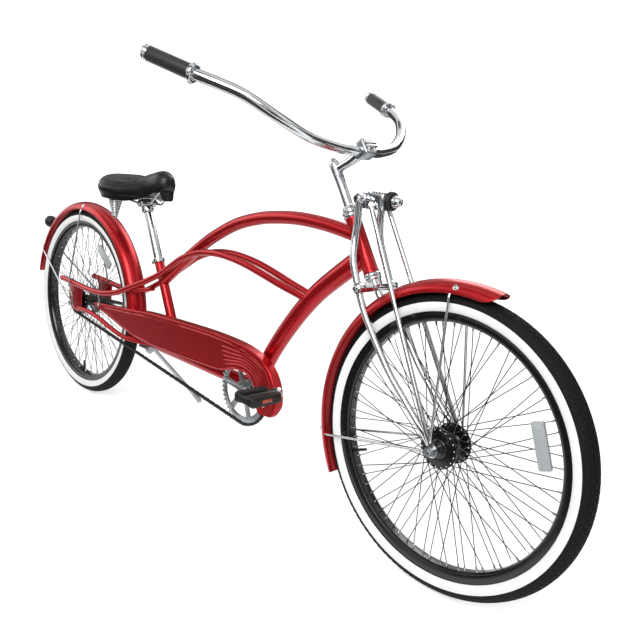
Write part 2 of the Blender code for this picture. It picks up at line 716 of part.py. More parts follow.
def make_saddle_cover():
    """A padded cover on a coarse cage: broad at the back, dipped, with a raised nose."""
    mesh = bpy.data.meshes.new("saddle_cover")
    cage = bmesh.new()
    bmesh.ops.create_cube(cage, size=2.0)
    for axis, cuts in ((0, 7), (1, 3), (2, 1)):
        across = [e for e in cage.edges if abs(e.verts[0].co[axis] - e.verts[1].co[axis]) > 1.9]
        bmesh.ops.subdivide_edges(cage, edges=across, cuts=cuts, use_grid_fill=True)
    length = SADDLE_NOSE_X - SADDLE_REAR_X
    seat_z = SADDLE_PAN_Z + SADDLE_PAN_HALF_THICKNESS + GAP
    for vert in cage.verts:
        u = (vert.co.x + 1.0) / 2.0
        level = (vert.co.z + 1.0) / 2.0
        across = vert.co.y
        crown = 0.057 + 0.010 * math.cos(u * 2.0 * math.pi) + 0.016 * u ** 3
        draw = 1.0 - 0.10 * (1.0 - level) ** 2 - 0.16 * level ** 3
        width = saddle_half_width(min(max(u, 0.03), 0.97)) * draw * 1.03
        droop = 1.0 - 0.34 * abs(across) ** 2.5
        vert.co.x = SADDLE_REAR_X + length * u + 0.006 * (level - 0.4)
        vert.co.y = across * width
        vert.co.z = seat_z + crown * level * droop
    cage.to_mesh(mesh)
    cage.free()
    cover = add_object("saddle_cover", mesh)
    soft = cover.modifiers.new("Subdivision", "SUBSURF")
    soft.levels = 1
    soft.render_levels = 1
    cover = settle(cover)
    floor = box((0.1, -0.2, 0.6), (0.7, 0.2, seat_z))
    cut(cover, floor)
    smooth_shading(cover, 60.0)
    keep(cover, "saddle_cover", VINYL, "seat_slide")


# Wheels

def make_wheel(prefix, hub, frame, hub_half):
    section = TYRE_SECTION
    middle = TYRE_RADIUS - section
    neck = RIM_HALF_WIDTH - RIM_WALL - GAP
    flange_top = RIM_SEAT_RADIUS + 0.0050
    profile = [(RIM_SEAT_RADIUS + GAP, -neck), (RIM_SEAT_RADIUS + GAP, neck), (flange_top, neck)]
    start = math.degrees(math.asin((middle - flange_top - 0.0005) / section))
    for i in range(7):
        angle = math.radians(-start + (180.0 + 2.0 * start) * i / 6.0)
        profile.append((middle + section * math.sin(angle), section * math.cos(angle)))
    profile.append((flange_top, -neck))
    tyre = settle(turned(profile, hub, (0.0, 1.0, 0.0), WHEEL_STEPS))
    smooth_shading(tyre, 50.0)
    keep(tyre, prefix + "_tyre", RUBBER, frame)

    inner = RIM_SEAT_RADIUS - RIM_DEPTH
    half = RIM_HALF_WIDTH
    wall = half - RIM_WALL
    channel = [(inner, -half * 0.6), (inner + 0.009, -half), (flange_top - GAP, -half),
               (flange_top - GAP, -wall), (RIM_SEAT_RADIUS, -wall), (RIM_SEAT_RADIUS, wall),
               (flange_top - GAP, wall), (flange_top - GAP, half), (inner + 0.009, half),
               (inner, half * 0.6)]
    rim = settle(turned(channel, hub, (0.0, 1.0, 0.0), WHEEL_STEPS))
    smooth_shading(rim, 50.0)
    keep(rim, prefix + "_rim", BLACK, frame)

    flange_low = FLANGE_OFFSET - FLANGE_HALF_THICKNESS
    flange_high = FLANGE_OFFSET + FLANGE_HALF_THICKNESS
    right = [(AXLE_RADIUS + GAP, hub_half), (0.0095, hub_half), (0.0095, hub_half - 0.010),
             (HUB_RADIUS, hub_half - 0.014), (HUB_RADIUS, flange_high), (FLANGE_RADIUS, flange_high),
             (FLANGE_RADIUS, flange_low), (HUB_RADIUS, flange_low)]
    left = [(radius, -height) for radius, height in reversed(right)]
    shell = settle(turned(right + left, hub, (0.0, 1.0, 0.0)))
    fuse(shell, spoke_fan(hub, inner * math.cos(math.pi / WHEEL_STEPS) - 2 * GAP))
    smooth_shading(shell)
    keep(shell, prefix + "_hub", BLACK, frame)


def spoke_fan(hub, rim_radius):
    """All the spokes of a wheel as one cutter mesh, laced forwards and backwards."""
    root_radius = FLANGE_RADIUS - 0.0045
    step = 360.0 / SPOKES_PER_FLANGE
    mesh = bpy.data.meshes.new("spokes")
    fan = bmesh.new()
    for side in (-1.0, 1.0):
        for i in range(SPOKES_PER_FLANGE):
            lead = 1.0 if i % 2 else -1.0
            root_angle = step * i + (step / 2 if side > 0 else 0.0)
            tip_angle = root_angle + lead * math.degrees(SPOKE_TURN)
            root_y = side * (FLANGE_OFFSET + lead * SPOKE_STAGGER)
            root = polar(hub, root_angle, root_radius, root_y)
            tip = polar(hub, tip_angle, rim_radius, side * 0.004)
            place = facing((root + tip) / 2, tip - root)
            bmesh.ops.create_cone(fan, cap_ends=True, segments=3, radius1=SPOKE_RADIUS * 1.25,
                                  radius2=SPOKE_RADIUS * 1.25, depth=(tip - root).length, matrix=place)
    fan.to_mesh(mesh)
    fan.free()
    return add_object("spokes", mesh)


def make_axle(name, hub, seat_y, frame, fittings=()):
    half = seat_y + NUT_LENGTH + 0.004
    axle = rod(hub + Vector((0, -half, 0)), hub + Vector((0, half, 0)), AXLE_RADIUS, steps=SMALL_STEPS)
    for side in SIDES.values():
        start = hub + Vector((0, side * seat_y, 0))
        fuse(axle, hex_nut(start, start + Vector((0, side * NUT_LENGTH, 0)), NUT_RADIUS))
    fuse(axle, *fittings)
    keep(axle, name, STEEL, frame)


# Fenders and their stays

def make_fender(hub, arc_degrees, bracket=None):
    start, end = arc_degrees
    profile = []
    for i in range(7):
        angle = math.radians(-90.0 + 180.0 * i / 6.0)
        radius = FENDER_EDGE + (FENDER_CROWN - FENDER_EDGE) * math.cos(angle)
        profile.append((radius, FENDER_HALF_WIDTH * math.sin(angle)))
    shape = turned(profile, hub, (0.0, -1.0, 0.0), fender_steps(arc_degrees), end - start, closed=False)
    across = Matrix.Rotation(math.pi / 2, 4, "X")
    shape.matrix_world = Matrix.Translation(hub) @ Matrix.Rotation(-math.radians(start), 4, "Y") @ across
    sheet = shape.modifiers.new("Solidify", "SOLIDIFY")
    sheet.thickness = FENDER_SHEET
    sheet.offset = -1.0
    shape = settle(shape)
    if bracket:
        fuse(shape, bracket)
    smooth_shading(shape, 50.0)
    return shape


def stay_pair(hub, stays, side, eye_y, frame, name):
    """Two wires from the fender's edge, their flattened ends meeting in one eye on the axle.
    Each stay is an angle about the hub and a list of (radius, y) points between eye and edge."""
    eye_half = 0.0010
    middle = eye_y + eye_half
    across = Vector((0.0, side, 0.0))
    eye = rod(hub + across * (middle - eye_half), hub + across * (middle + eye_half), 0.0095,
              steps=SMALL_STEPS)
    top = (FENDER_EDGE + 0.0035, FENDER_HALF_WIDTH + STAY_RADIUS + GAP)
    for angle, bends in stays:
        foot = box((0.006, -0.0030, -0.0008), (0.028, 0.0030, 0.0008))
        turn = Matrix.Rotation(-math.radians(angle), 4, "Y")
        flat = Matrix.Rotation(math.pi / 2, 4, "X")
        foot.matrix_world = Matrix.Translation(hub + across * middle) @ turn @ flat
        route = [(0.0245, middle + 0.0016)] + bends + [top]
        wire = tube([polar(hub, angle, radius, side * y) for radius, y in route], STAY_RADIUS, resolution=1)
        fuse(eye, foot, wire)
    cut(eye, rod(hub + across * (middle - 0.01), hub + across * (middle + 0.01), AXLE_RADIUS + GAP,
                 steps=SMALL_STEPS))
    keep(eye, name, STEEL, frame)


def make_rear_fender():
    fender = make_fender(REAR_HUB, REAR_FENDER_ARC)
    keep(fender, "rear_fender", RED)
    stay_y = DROPOUT_INNER + DROPOUT_THICKNESS + GAP
    for name, side in SIDES.items():
        around_frame = [(0.0500, 0.0700), (0.0720, TWIN_PATH[0].y + TWIN_RADIUS + STAY_RADIUS + 0.0010)]
        stays = [(91.0, around_frame), (154.0, [(0.0500, 0.0645)])]
        stay_pair(REAR_HUB, stays, side, stay_y, "bicycle_frame", "rear_stay_" + name)
    housing = [(0.0, 0.0), (0.014, 0.0), (0.022, 0.012), (0.022, 0.028), (0.018, 0.028),
               (0.018, 0.024), (0.0, 0.024)]
    lamp = settle(turned(housing, TAIL_LAMP, (-1.0, 0.0, 0.0), closed=False))
    fuse(lamp, fender_stub(Vector(TAIL_LAMP) - Vector((0.004, 0.0, 0.0)), 0.005))
    keep(lamp, "tail_reflector", PLASTIC)


# Springer fork

def make_fork_crown():
    """The steerer, its crown race and the bar through it that carries the blades' pivots."""
    bore = QUILL_RADIUS + GAP
    low = -HEAD_LENGTH
    section = [(0.0, low - 0.036), (0.0165, low - 0.036), (0.0165, low - 0.0155),
               (HEAD_RADIUS + 0.001, low - 0.0155), (HEAD_RADIUS + 0.001, low - 0.0103),
               (STEERER_RADIUS, low - 0.0103), (STEERER_RADIUS, 0.020), (bore, 0.020),
               (bore, low - 0.010), (0.0, low - 0.010)]
    crown = settle(turned(section, HEAD_POINT, -STEER_DOWN, closed=False))
    inner = PIVOT_BOSS[0] - GAP
    outer = PIVOT_BOSS[1] + GAP
    half = [(0.011, inner), (PIVOT_PIN_RADIUS, inner), (PIVOT_PIN_RADIUS, outer), (NUT_RADIUS, outer),
            (0.0060, outer + 0.0070), (0.0, outer + 0.0070)]
    other = [(radius, -y) for radius, y in reversed(half)]
    bar = settle(turned(other + half, PIVOT_POINT, (0.0, 1.0, 0.0), SMALL_STEPS, closed=False))
    fuse(crown, bar)
    smooth_shading(crown)
    keep(crown, "fork_crown", CHROME, "steering_axis")


def make_headset_top():
    ring = [(STEERER_RADIUS + GAP, 0.0103), (HEAD_RADIUS + 0.001, 0.0103), (HEAD_RADIUS + 0.003, 0.0130),
            (HEAD_RADIUS + 0.003, 0.0160), (STEERER_RADIUS + GAP, 0.0160)]
    bracket = settle(turned(ring, HEAD_POINT, -STEER_DOWN))
    seat = Vector((SPRING_BACK_X - GAP, 0.0, SPRING_HEIGHT))
    boss = rod(seat - Vector((0.033, 0, 0)), seat, 0.0100)
    disc = rod(seat - Vector((0.004, 0, 0)), seat, SPRING_COIL_RADIUS + 0.0010)
    forwards = Vector((-STEER_DOWN.z, 0.0, STEER_DOWN.x))
    corners = [(HEAD_RADIUS - 0.0002, 0.0104), (0.0290, 0.0104), (0.0560, 0.0200), (0.0470, 0.0290),
               (HEAD_RADIUS + 0.0025, 0.0159)]
    neck = []
    for reach, height in corners:
        corner = steer(height) + forwards * reach
        neck.append((corner.x, corner.z))
    fuse(bracket, boss, disc, plate([neck], 0.0060, 0.0))
    cut(bracket, rod(seat - Vector((0.020, 0, 0)), seat + Vector((0.01, 0, 0)), 0.0065, steps=16))
    cut(bracket, rod(steer(0.0), steer(0.04), STEERER_RADIUS + GAP))
    keep(bracket, "spring_bracket", CHROME, "steering_axis")

    nut = [(QUILL_RADIUS + GAP, 0.0285), (HEAD_RADIUS - 0.001, 0.0285), (HEAD_RADIUS + 0.001, 0.0265),
           (HEAD_RADIUS + 0.001, 0.0163), (STEERER_RADIUS + GAP, 0.0163), (STEERER_RADIUS + GAP, 0.0205),
           (QUILL_RADIUS + GAP, 0.0205)]
    keep(turned(nut, HEAD_POINT, -STEER_DOWN), "headset_locknut", CHROME, "steering_axis")


def make_stem():
    section = [(0.0, -0.060), (QUILL_RADIUS, -0.060), (QUILL_RADIUS, 0.070), (0.0135, 0.132),
               (0.0135, 0.140), (0.0090, 0.148), (0.0, 0.149)]
    quill = settle(turned(section, HEAD_POINT, -STEER_DOWN, closed=False))
    middle = Vector(BAR_MIDDLE)
    arm = tube([steer(0.118), middle], 0.0115, resolution=3)
    clamp = rod(middle + Vector((0, -0.019, 0)), middle + Vector((0, 0.019, 0)), 0.0195)
    fuse(quill, arm, clamp)
    cut(quill, bar_solid(GAP))
    smooth_shading(quill)
    keep(quill, "stem", CHROME, "steering_axis")


def bar_path(extra):
    bends = [(1.2560, 0.0350, 0.9330), (1.2480, 0.0730, 0.9350), (1.2290, 0.1430, 0.9500),
             (1.1960, 0.2060, 0.9820), (1.1490, 0.2560, 1.0180), (1.0980, 0.2950, 1.0400)]
    half = [BAR_MIDDLE] + [(x, y * BAR_SHARE, z) for x, y, z in all_ahead(bends)] + [GRIP_START]
    straight = Vector(GRIP_START).lerp(Vector(GRIP_END), 0.5)
    left = smooth_path(half + [tuple(straight)], 2)
    along = (Vector(GRIP_END) - Vector(GRIP_START)).normalized()
    left.append(Vector(GRIP_END) - along * (0.009 - extra))
    right = [Vector((p.x, -p.y, p.z)) for p in reversed(left)]
    return right + left[1:]


def bar_solid(extra=0.0):
    return tube(bar_path(extra), BAR_RADIUS + extra, resolution=2)


def make_handlebar():
    keep(bar_solid(), "handlebar", CHROME, "steering_axis")
    for name, side in SIDES.items():
        start, end = mirrored([GRIP_START, GRIP_END], side)
        along = (end - start).normalized()
        collar = rod(start, start + along * COLLAR_LENGTH, COLLAR_RADIUS, steps=SMALL_STEPS)
        cut(collar, bar_solid(GAP))
        smooth_shading(collar)
        keep(collar, "grip_collar_" + name, CHROME, "steering_axis")
        grip = rod(start + along * (COLLAR_LENGTH + GAP), end, GRIP_RADIUS, steps=SMALL_STEPS)
        cut(grip, bar_solid(GAP))
        smooth_shading(grip)
        keep(grip, "grip_" + name, RUBBER, "steering_axis")


def make_blades():
    shape = all_ahead([
        (1.2970, BLADE_TOP_Y, 0.8290), (1.2975, BLADE_TOP_Y, 0.8000), (1.2980, BLADE_TOP_Y, 0.7700),
        (1.3000, 0.0450, 0.7320), (1.3100, 0.0540, 0.6930), (1.3290, 0.0570, 0.6480),
        (1.3550, 0.0570, 0.5930), (1.3970, 0.0560, 0.5310), (1.4460, 0.0545, 0.4670),
        (1.4970, 0.0530, 0.4160), (1.5380, BLADE_TIP_Y, 0.3770), (1.5790, BLADE_TIP_Y, TYRE_RADIUS),
    ])
    for name, side in SIDES.items():
        blade = tube(mirrored(shape, side), BLADE_RADIUS, BLADE_END_RADIUS, 2)
        flatten_end(blade, side * BLADE_TIP_Y, 0.0021)
        tip = FRONT_HUB + Vector((0, side * BLADE_TIP_Y, 0))
        fuse(blade, rod(tip - Vector((0, 0.0026, 0)), tip + Vector((0, 0.0026, 0)), 0.0150,
                        steps=SMALL_STEPS))
        top = Vector((YOKE_BOLT_X, side * BLADE_TOP_Y, SPRING_HEIGHT))
        fuse(blade, rod(top - Vector((0, 0.0089, 0)), top + Vector((0, 0.0089, 0)), 0.0118,
                        steps=SMALL_STEPS))
        low_boss = PIVOT_POINT + Vector((0, side * PIVOT_BOSS[0], 0))
        fuse(blade, rod(low_boss, PIVOT_POINT + Vector((0, side * PIVOT_BOSS[1], 0)), 0.0125,
                        steps=SMALL_STEPS))
        cut(blade, rod(PIVOT_POINT + Vector((0, side * 0.03, 0)), PIVOT_POINT + Vector((0, side * 0.09, 0)),
                       PIVOT_PIN_RADIUS + GAP, steps=SMALL_STEPS))
        cut(blade, axle_hole(side))
        smooth_shading(blade)
        keep(blade, "fork_blade_" + name, CHROME, "fork_pivot")

        eye = FRONT_HUB + Vector((0, side * ROD_EYE_Y, 0))
        start = Vector((ROD_TOP[0], side * ROD_TOP[1], ROD_TOP[2]))
        truss = tube([start, eye + Vector((-0.0035, 0, 0.009))], ROD_RADIUS, resolution=2)
        flatten_end(truss, eye.y, 0.0011)
        fuse(truss, rod(eye - Vector((0, 0.0015, 0)), eye + Vector((0, 0.0015, 0)), 0.0130,
                        steps=SMALL_STEPS))
        cut(truss, axle_hole(side))
        smooth_shading(truss)
        keep(truss, "truss_rod_" + name, CHROME, "fork_pivot")


def axle_hole(side):
    low = FRONT_HUB + Vector((0, side * 0.04, 0))
    return rod(low, FRONT_HUB + Vector((0, side * 0.07, 0)), AXLE_RADIUS + GAP, steps=SMALL_STEPS)


def flatten_end(shape, y, half_thickness):
    """Presses the end of a fork tube flat around the front axle."""
    for edge in (-1.0, 1.0):
        middle = y + edge * (half_thickness + 0.02)
        low = FRONT_HUB + Vector((-0.060, middle - 0.02, -0.03))
        high = FRONT_HUB + Vector((0.03, middle + 0.02, 0.046))
        cut(shape, box(low, high))


def make_yoke():
    outer = YOKE_HALF_INSIDE + YOKE_WALL
    bottom = SPRING_HEIGHT - SPRING_COIL_RADIUS - SPRING_WIRE_RADIUS - GAP
    top = SPRING_HEIGHT + 0.013
    front = SPRING_FRONT_X + YOKE_WALL
    yoke = box((YOKE_BACK_X, -outer, bottom - YOKE_WALL), (front, outer, top))
    cut(yoke, box((YOKE_BACK_X - 0.02, -YOKE_HALF_INSIDE, bottom),
                  (SPRING_FRONT_X, YOKE_HALF_INSIDE, top + 0.02)))
    for side in SIDES.values():
        boss = Vector((YOKE_BOLT_X, side * (outer - 0.001), SPRING_HEIGHT))
        blade_side = side * (BLADE_TOP_Y - BLADE_RADIUS - GAP)
        fuse(yoke, rod(boss, Vector((YOKE_BOLT_X, blade_side, SPRING_HEIGHT)), 0.0100))
    hole = Vector((front, 0, SPRING_HEIGHT))
    bore = SPRING_BOLT_RADIUS + GAP
    cut(yoke, rod(hole - Vector((0.01, 0, 0)), hole + Vector((0.01, 0, 0)), bore, steps=16))
    keep(yoke, "spring_yoke", CHROME, "fork_pivot")

    cap = [(bore, GAP), (0.0205, GAP), (0.0215, 0.003), (0.0215, 0.010), (0.0175, 0.0135),
           (bore, 0.0135)]
    keep(turned(cap, (front, 0.0, SPRING_HEIGHT), (1.0, 0.0, 0.0)), "spring_cap", PLASTIC, "fork_pivot")
    back = SPRING_BOLT_BACK_X - front
    bolt = [(0.0, back), (SPRING_BOLT_RADIUS, back), (SPRING_BOLT_RADIUS, 0.0138), (0.0135, 0.0138),
            (0.0135, 0.0220), (0.0115, 0.0290), (0.0070, 0.0335), (0.0, 0.0350)]
    keep(turned(bolt, (front, 0.0, SPRING_HEIGHT), (1.0, 0.0, 0.0), closed=False), "spring_bolt",
         CHROME, "fork_pivot")


def make_coil_spring():
    per_turn = 9
    count = int(SPRING_TURNS * per_turn)
    start = SPRING_BACK_X + SPRING_WIRE_RADIUS + GAP
    end = SPRING_FRONT_X - SPRING_WIRE_RADIUS - GAP
    path = []
    for i in range(count + 1):
        angle = 2.0 * math.pi * SPRING_TURNS * i / count
        path.append(Vector((start + (end - start) * i / count,
                            SPRING_COIL_RADIUS * math.sin(angle),
                            SPRING_HEIGHT + SPRING_COIL_RADIUS * math.cos(angle))))
    print("coil spring, least gap between turns:",
          round((end - start) / SPRING_TURNS - 2 * SPRING_WIRE_RADIUS, 5))
    keep(tube(path, SPRING_WIRE_RADIUS, resolution=1), "coil_spring", CHROME, "fork_pivot")


def make_front_fender():
    reach = (PIVOT_POINT - FRONT_HUB).length - 0.011 - GAP
    angle = math.degrees(math.atan2(PIVOT_POINT.z - FRONT_HUB.z, PIVOT_POINT.x - FRONT_HUB.x))
    bracket = rod(polar(FRONT_HUB, angle, FENDER_CROWN - 0.0008), polar(FRONT_HUB, angle, reach), 0.009)
    fender = make_fender(FRONT_HUB, FRONT_FENDER_ARC, bracket)
    keep(fender, "front_fender", RED, "fork_pivot")
    for name, side in SIDES.items():
        stays = [(93.5, []), (193.5, [])]
        stay_pair(FRONT_HUB, stays, side, FRONT_STAY_Y, "fork_pivot", "front_stay_" + name)


# Chain drive

def sprocket_outline(teeth, pitch_radius, centre, turn):
    """Teeth as narrow tips between wider gaps, three points a tooth."""
    points = []
    for i in range(teeth):
        middle = 360.0 * i / teeth + turn
        half = 360.0 / teeth
        for offset, radius in ((-0.24, -0.0036), (0.0, 0.0038), (0.24, -0.0036)):
            angle = math.radians(middle + offset * half)
            points.append((centre.x + (pitch_radius + radius) * math.cos(angle),
                           centre.z + (pitch_radius + radius) * math.sin(angle)))
    return points


def make_sprockets():
    centre = (CRANK_POINT.x, CRANK_POINT.z)
    outlines = [sprocket_outline(CHAINRING_TEETH, CHAINRING_RADIUS, CRANK_POINT, 0.0)]
    outlines.append(arc(centre, SPINDLE_RADIUS + 2 * GAP, 0.0, 337.5, 16))
    arms = 6
    for i in range(arms):
        middle = 360.0 / arms * i + 22.0
        window = arc(centre, 0.0730, middle - 24.0, middle + 24.0, 6)
        window += arc(centre, 0.0300, middle + 16.0, middle - 16.0, 3)
        outlines.append(window)
    ring = plate(outlines, TOOTH_THICKNESS / 2, -CHAINLINE)
    keep(ring, "chainring", STEEL, "crank_axis")

    hub_centre = (REAR_HUB.x, REAR_HUB.z)
    outlines = [sprocket_outline(SPROCKET_TEETH, SPROCKET_RADIUS, REAR_HUB, 0.0),
                arc(hub_centre, 0.0100 + GAP, 0.0, 337.5, 16)]
    keep(plate(outlines, TOOTH_THICKNESS / 2, -CHAINLINE), "rear_sprocket", STEEL, "sprocket_axis")


def chain_loop(offset):
    """The chain's closed line around both sprockets, moved outwards by offset."""
    big = CHAINRING_RADIUS + offset
    small = SPROCKET_RADIUS + offset
    line = CRANK_POINT - REAR_HUB
    heading = math.degrees(math.atan2(line.z, line.x))
    spread = math.degrees(math.acos((big - small) / line.length))
    front = arc((CRANK_POINT.x, CRANK_POINT.z), big, heading - spread, heading + spread, 17)
    rear = arc((REAR_HUB.x, REAR_HUB.z), small, heading + spread, heading + 360.0 - spread, 13)
    return front + rear


def make_chain():
    band = plate([chain_loop(0.0056), chain_loop(-0.0042)], CHAIN_HALF_WIDTH, -CHAINLINE)
    cut(band, plate([chain_loop(0.0046), chain_loop(-0.0100)], CHAIN_GROOVE / 2, -CHAINLINE))
    keep(band, "chain", STEEL)


def make_crank():
    out = CRANK_ARM_Y
    arm = CRANK_DIRECTION * CRANK_LENGTH
    centre = CRANK_POINT
    side = Vector((0.0, 1.0, 0.0))
    path = [centre + arm - side * (out + 0.004), centre + arm * 0.55 - side * (out + 0.001),
            centre + arm * 0.20 - side * (out - 0.002), centre + arm * 0.09 - side * (out - 0.008),
            centre - side * (out - 0.016), centre - side * 0.044, centre + side * 0.044,
            centre + side * (out - 0.016), centre - arm * 0.09 + side * (out - 0.008),
            centre - arm * 0.20 + side * (out - 0.002), centre - arm * 0.55 + side * (out + 0.001),
            centre - arm + side * (out + 0.004)]
    crank = tube(path, SPINDLE_RADIUS, resolution=2)
    for direction in (-1.0, 1.0):
        end = centre - arm * direction + side * direction * (out + 0.004)
        reach = CRANK_BOSS_HALF + PEDAL_CLEARANCE + PEDAL_LENGTH * 0.93
        profile = [(0.0, -CRANK_BOSS_HALF), (0.0145, -CRANK_BOSS_HALF), (0.0145, CRANK_BOSS_HALF),
                   (PEDAL_SPINDLE_RADIUS, CRANK_BOSS_HALF), (PEDAL_SPINDLE_RADIUS, reach), (0.0, reach)]
        fuse(crank, settle(turned(profile, end, side * direction, SMALL_STEPS, closed=False)))
    smooth_shading(crank)
    keep(crank, "crank", CHROME, "crank_axis")


def make_pedals():
    for name, side in SIDES.items():
        forward = 1.0 if name == "right" else -1.0
        centre = CRANK_POINT + CRANK_DIRECTION * CRANK_LENGTH * forward
        inner = CRANK_ARM_Y + 0.004 + CRANK_BOSS_HALF + PEDAL_CLEARANCE
        low = centre + Vector((-PEDAL_WIDTH / 2, side * inner, -PEDAL_HEIGHT / 2))
        high = centre + Vector((PEDAL_WIDTH / 2, side * (inner + PEDAL_LENGTH), PEDAL_HEIGHT / 2))
        body = box([min(a, b) for a, b in zip(low, high)], [max(a, b) for a, b in zip(low, high)])
        bevel = body.modifiers.new("Bevel", "BEVEL")
        bevel.width = 0.006
        bevel.segments = 2
        body = settle(body)
        for across in (-1.0, 1.0):
            inside = across * PEDAL_WIDTH * 0.22
            half = PEDAL_WIDTH * 0.11
            y0 = side * (inner + 0.018)
            y1 = side * (inner + PEDAL_LENGTH - 0.018)
            cut(body, box(centre + Vector((inside - half, min(y0, y1), -0.05)),
                          centre + Vector((inside + half, max(y0, y1), 0.05))))
        bore = centre + Vector((0, side * (inner - 0.01), 0))
        bore_end = centre + Vector((0, side * (inner + PEDAL_LENGTH * 0.95), 0))
        cut(body, rod(bore, bore_end, PEDAL_SPINDLE_RADIUS + GAP, steps=SMALL_STEPS))
        keep(body, "pedal_" + name, PLASTIC, "pedal_axis_" + name)


def make_chain_guard():
    """A pressed sheet whose top and front edges are turned in over the chain."""
    block_middle = GUARD_FLANGE / 2 - GUARD_Y - GUARD_SHEET
    guard = plate([GUARD_TOP + GUARD_BOTTOM], GUARD_FLANGE / 2, block_middle)
    start = Vector(GUARD_TOP[1]).lerp(Vector(GUARD_TOP[2]), 0.6)
    edge = [tuple(start)] + GUARD_TOP[2:]
    hollow = []
    for i, (x, z) in enumerate(edge):
        before = Vector(edge[max(i - 1, 0)])
        after = Vector(edge[min(i + 1, len(edge) - 1)])
        along = (after - before).normalized()
        hollow.append((x + along.y * GUARD_SHEET, z - along.x * GUARD_SHEET))
    low = hollow[-1][1] - 0.025
    behind = GUARD_TOP[0][0] - 0.010
    above = start.y + 0.050
    hollow[-1] = (hollow[-1][0] - 0.004, low)
    hollow += [(behind, low), (behind, above), (hollow[0][0], above)]
    cut(guard, plate([hollow], GUARD_FLANGE / 2, block_middle + GUARD_SHEET))
    post = [(GUARD_POST_X, -GUARD_Y - 0.0004, 0.3640), (GUARD_POST_X, -0.0570, 0.3720),
            (GUARD_POST_X, -0.0590, 0.3850), (GUARD_POST_X, -0.0605, 0.4010)]
    fuse(guard, tube(post, 0.0040, resolution=2))
    cut(guard, twin_bar(-1.0, GAP))
    keep(guard, "chain_guard", RED)


# Rear hub fittings and stand

def brake_arm():
    """The coaster brake's arm, clamped on the axle, with its clip round the left stay."""
    y = 0.0522
    outline = [(-0.012, 0.3330), (-0.006, 0.3230), (0.006, 0.3220), (0.145, 0.3430), (0.156, 0.3430),
               (0.156, 0.3530), (0.140, 0.3545), (0.006, 0.3450), (-0.006, 0.3440)]
    arm = plate([outline], 0.0020, y)
    stay = Vector((0.1500, 0.0578, 0.3192))
    clip = [(0.0092, -0.006), (0.0115, -0.006), (0.0115, 0.006), (0.0092, 0.006)]
    band = settle(turned(clip, stay, (1.0, 0.0, -0.08), SMALL_STEPS))
    tab = box((0.1455, y - 0.0015, 0.3290), (0.1545, y + 0.0015, 0.3470))
    fuse(arm, band, tab)
    cut(arm, chainstay_bar(1.0, GAP))
    return settle(arm)


def make_stand():
    pivot = Vector(STAND_PIVOT)
    foot_z = (STAND_FOOT_RADIUS + STAND_FOOT_XY[1] * math.sin(LEAN)) / math.cos(LEAN)
    foot = Vector((*STAND_FOOT_XY, foot_z))
    leg_way = (foot - pivot).normalized()
    axis = leg_way.cross(Vector(STAND_STOWED)).normalized()
    bottom = BRACKET[1] + 0.004 - LOWER_TUBE_RADIUS - GAP
    bracket = box((0.388, -0.0240, bottom - 0.004), (0.447, 0.0300, bottom + 0.010))
    knuckle = rod(pivot - axis * 0.022, pivot - axis * 0.0075, 0.0115)
    rib = rod(pivot - axis * 0.0200, (0.402, 0.0120, bottom + 0.002), 0.0065, steps=SMALL_STEPS)
    pin = rod(pivot - axis * 0.012, pivot + axis * 0.0095, STAND_PIN_RADIUS, steps=12)
    fuse(bracket, knuckle, rib, pin)
    cut(bracket, lower_tube_bar(GAP), chainstay_bar(-1.0, GAP), chainstay_bar(1.0, GAP))
    keep(bracket, "stand_bracket", STEEL)

    leg = tube([pivot, foot], STAND_LEG_RADIUS, resolution=2)
    eye = rod(pivot - axis * (0.0075 - GAP), pivot + axis * 0.0065, 0.0110)
    ball = bpy.data.meshes.new("foot")
    shape = bmesh.new()
    bmesh.ops.create_uvsphere(shape, u_segments=12, v_segments=6, radius=STAND_FOOT_RADIUS)
    bmesh.ops.translate(shape, vec=foot, verts=shape.verts)
    shape.to_mesh(ball)
    shape.free()
    fuse(leg, eye, add_object("foot", ball))
    cut(leg, rod(pivot - axis * 0.03, pivot + axis * 0.03, STAND_PIN_RADIUS + GAP, steps=12))
    smooth_shading(leg)
    keep(leg, "stand_leg", STEEL, "stand_pivot")
    return pivot, axis


def set_frames():
    up = (0.0, 0.0, 1.0)
    across = (0.0, 1.0, 0.0)
    axis_empty("bicycle_frame", (0.0, 0.0, 0.0), up, None)
    axis_empty("steering_axis", HEAD_POINT, -STEER_DOWN, "bicycle_frame")
    axis_empty("fork_pivot", PIVOT_POINT, across, "steering_axis")
    axis_empty("front_wheel_axis", FRONT_HUB, across, "fork_pivot")
    axis_empty("rear_wheel_axis", REAR_HUB, across, "bicycle_frame")
    axis_empty("sprocket_axis", REAR_HUB, across, "bicycle_frame")
    axis_empty("crank_axis", CRANK_POINT, across, "bicycle_frame")
    for name in SIDES:
        forward = 1.0 if name == "right" else -1.0
        centre = CRANK_POINT + CRANK_DIRECTION * CRANK_LENGTH * forward
        axis_empty("pedal_axis_" + name, centre, across, "crank_axis")
    axis_empty("seat_slide", SEAT_POINT, SEAT_UP, "bicycle_frame")
    pivot = Vector(STAND_PIVOT)
    foot_z = (STAND_FOOT_RADIUS + STAND_FOOT_XY[1] * math.sin(LEAN)) / math.cos(LEAN)
    way = (Vector((*STAND_FOOT_XY, foot_z)) - pivot).normalized()
    axis_empty("stand_pivot", pivot, way.cross(Vector(STAND_STOWED)).normalized(), "bicycle_frame")


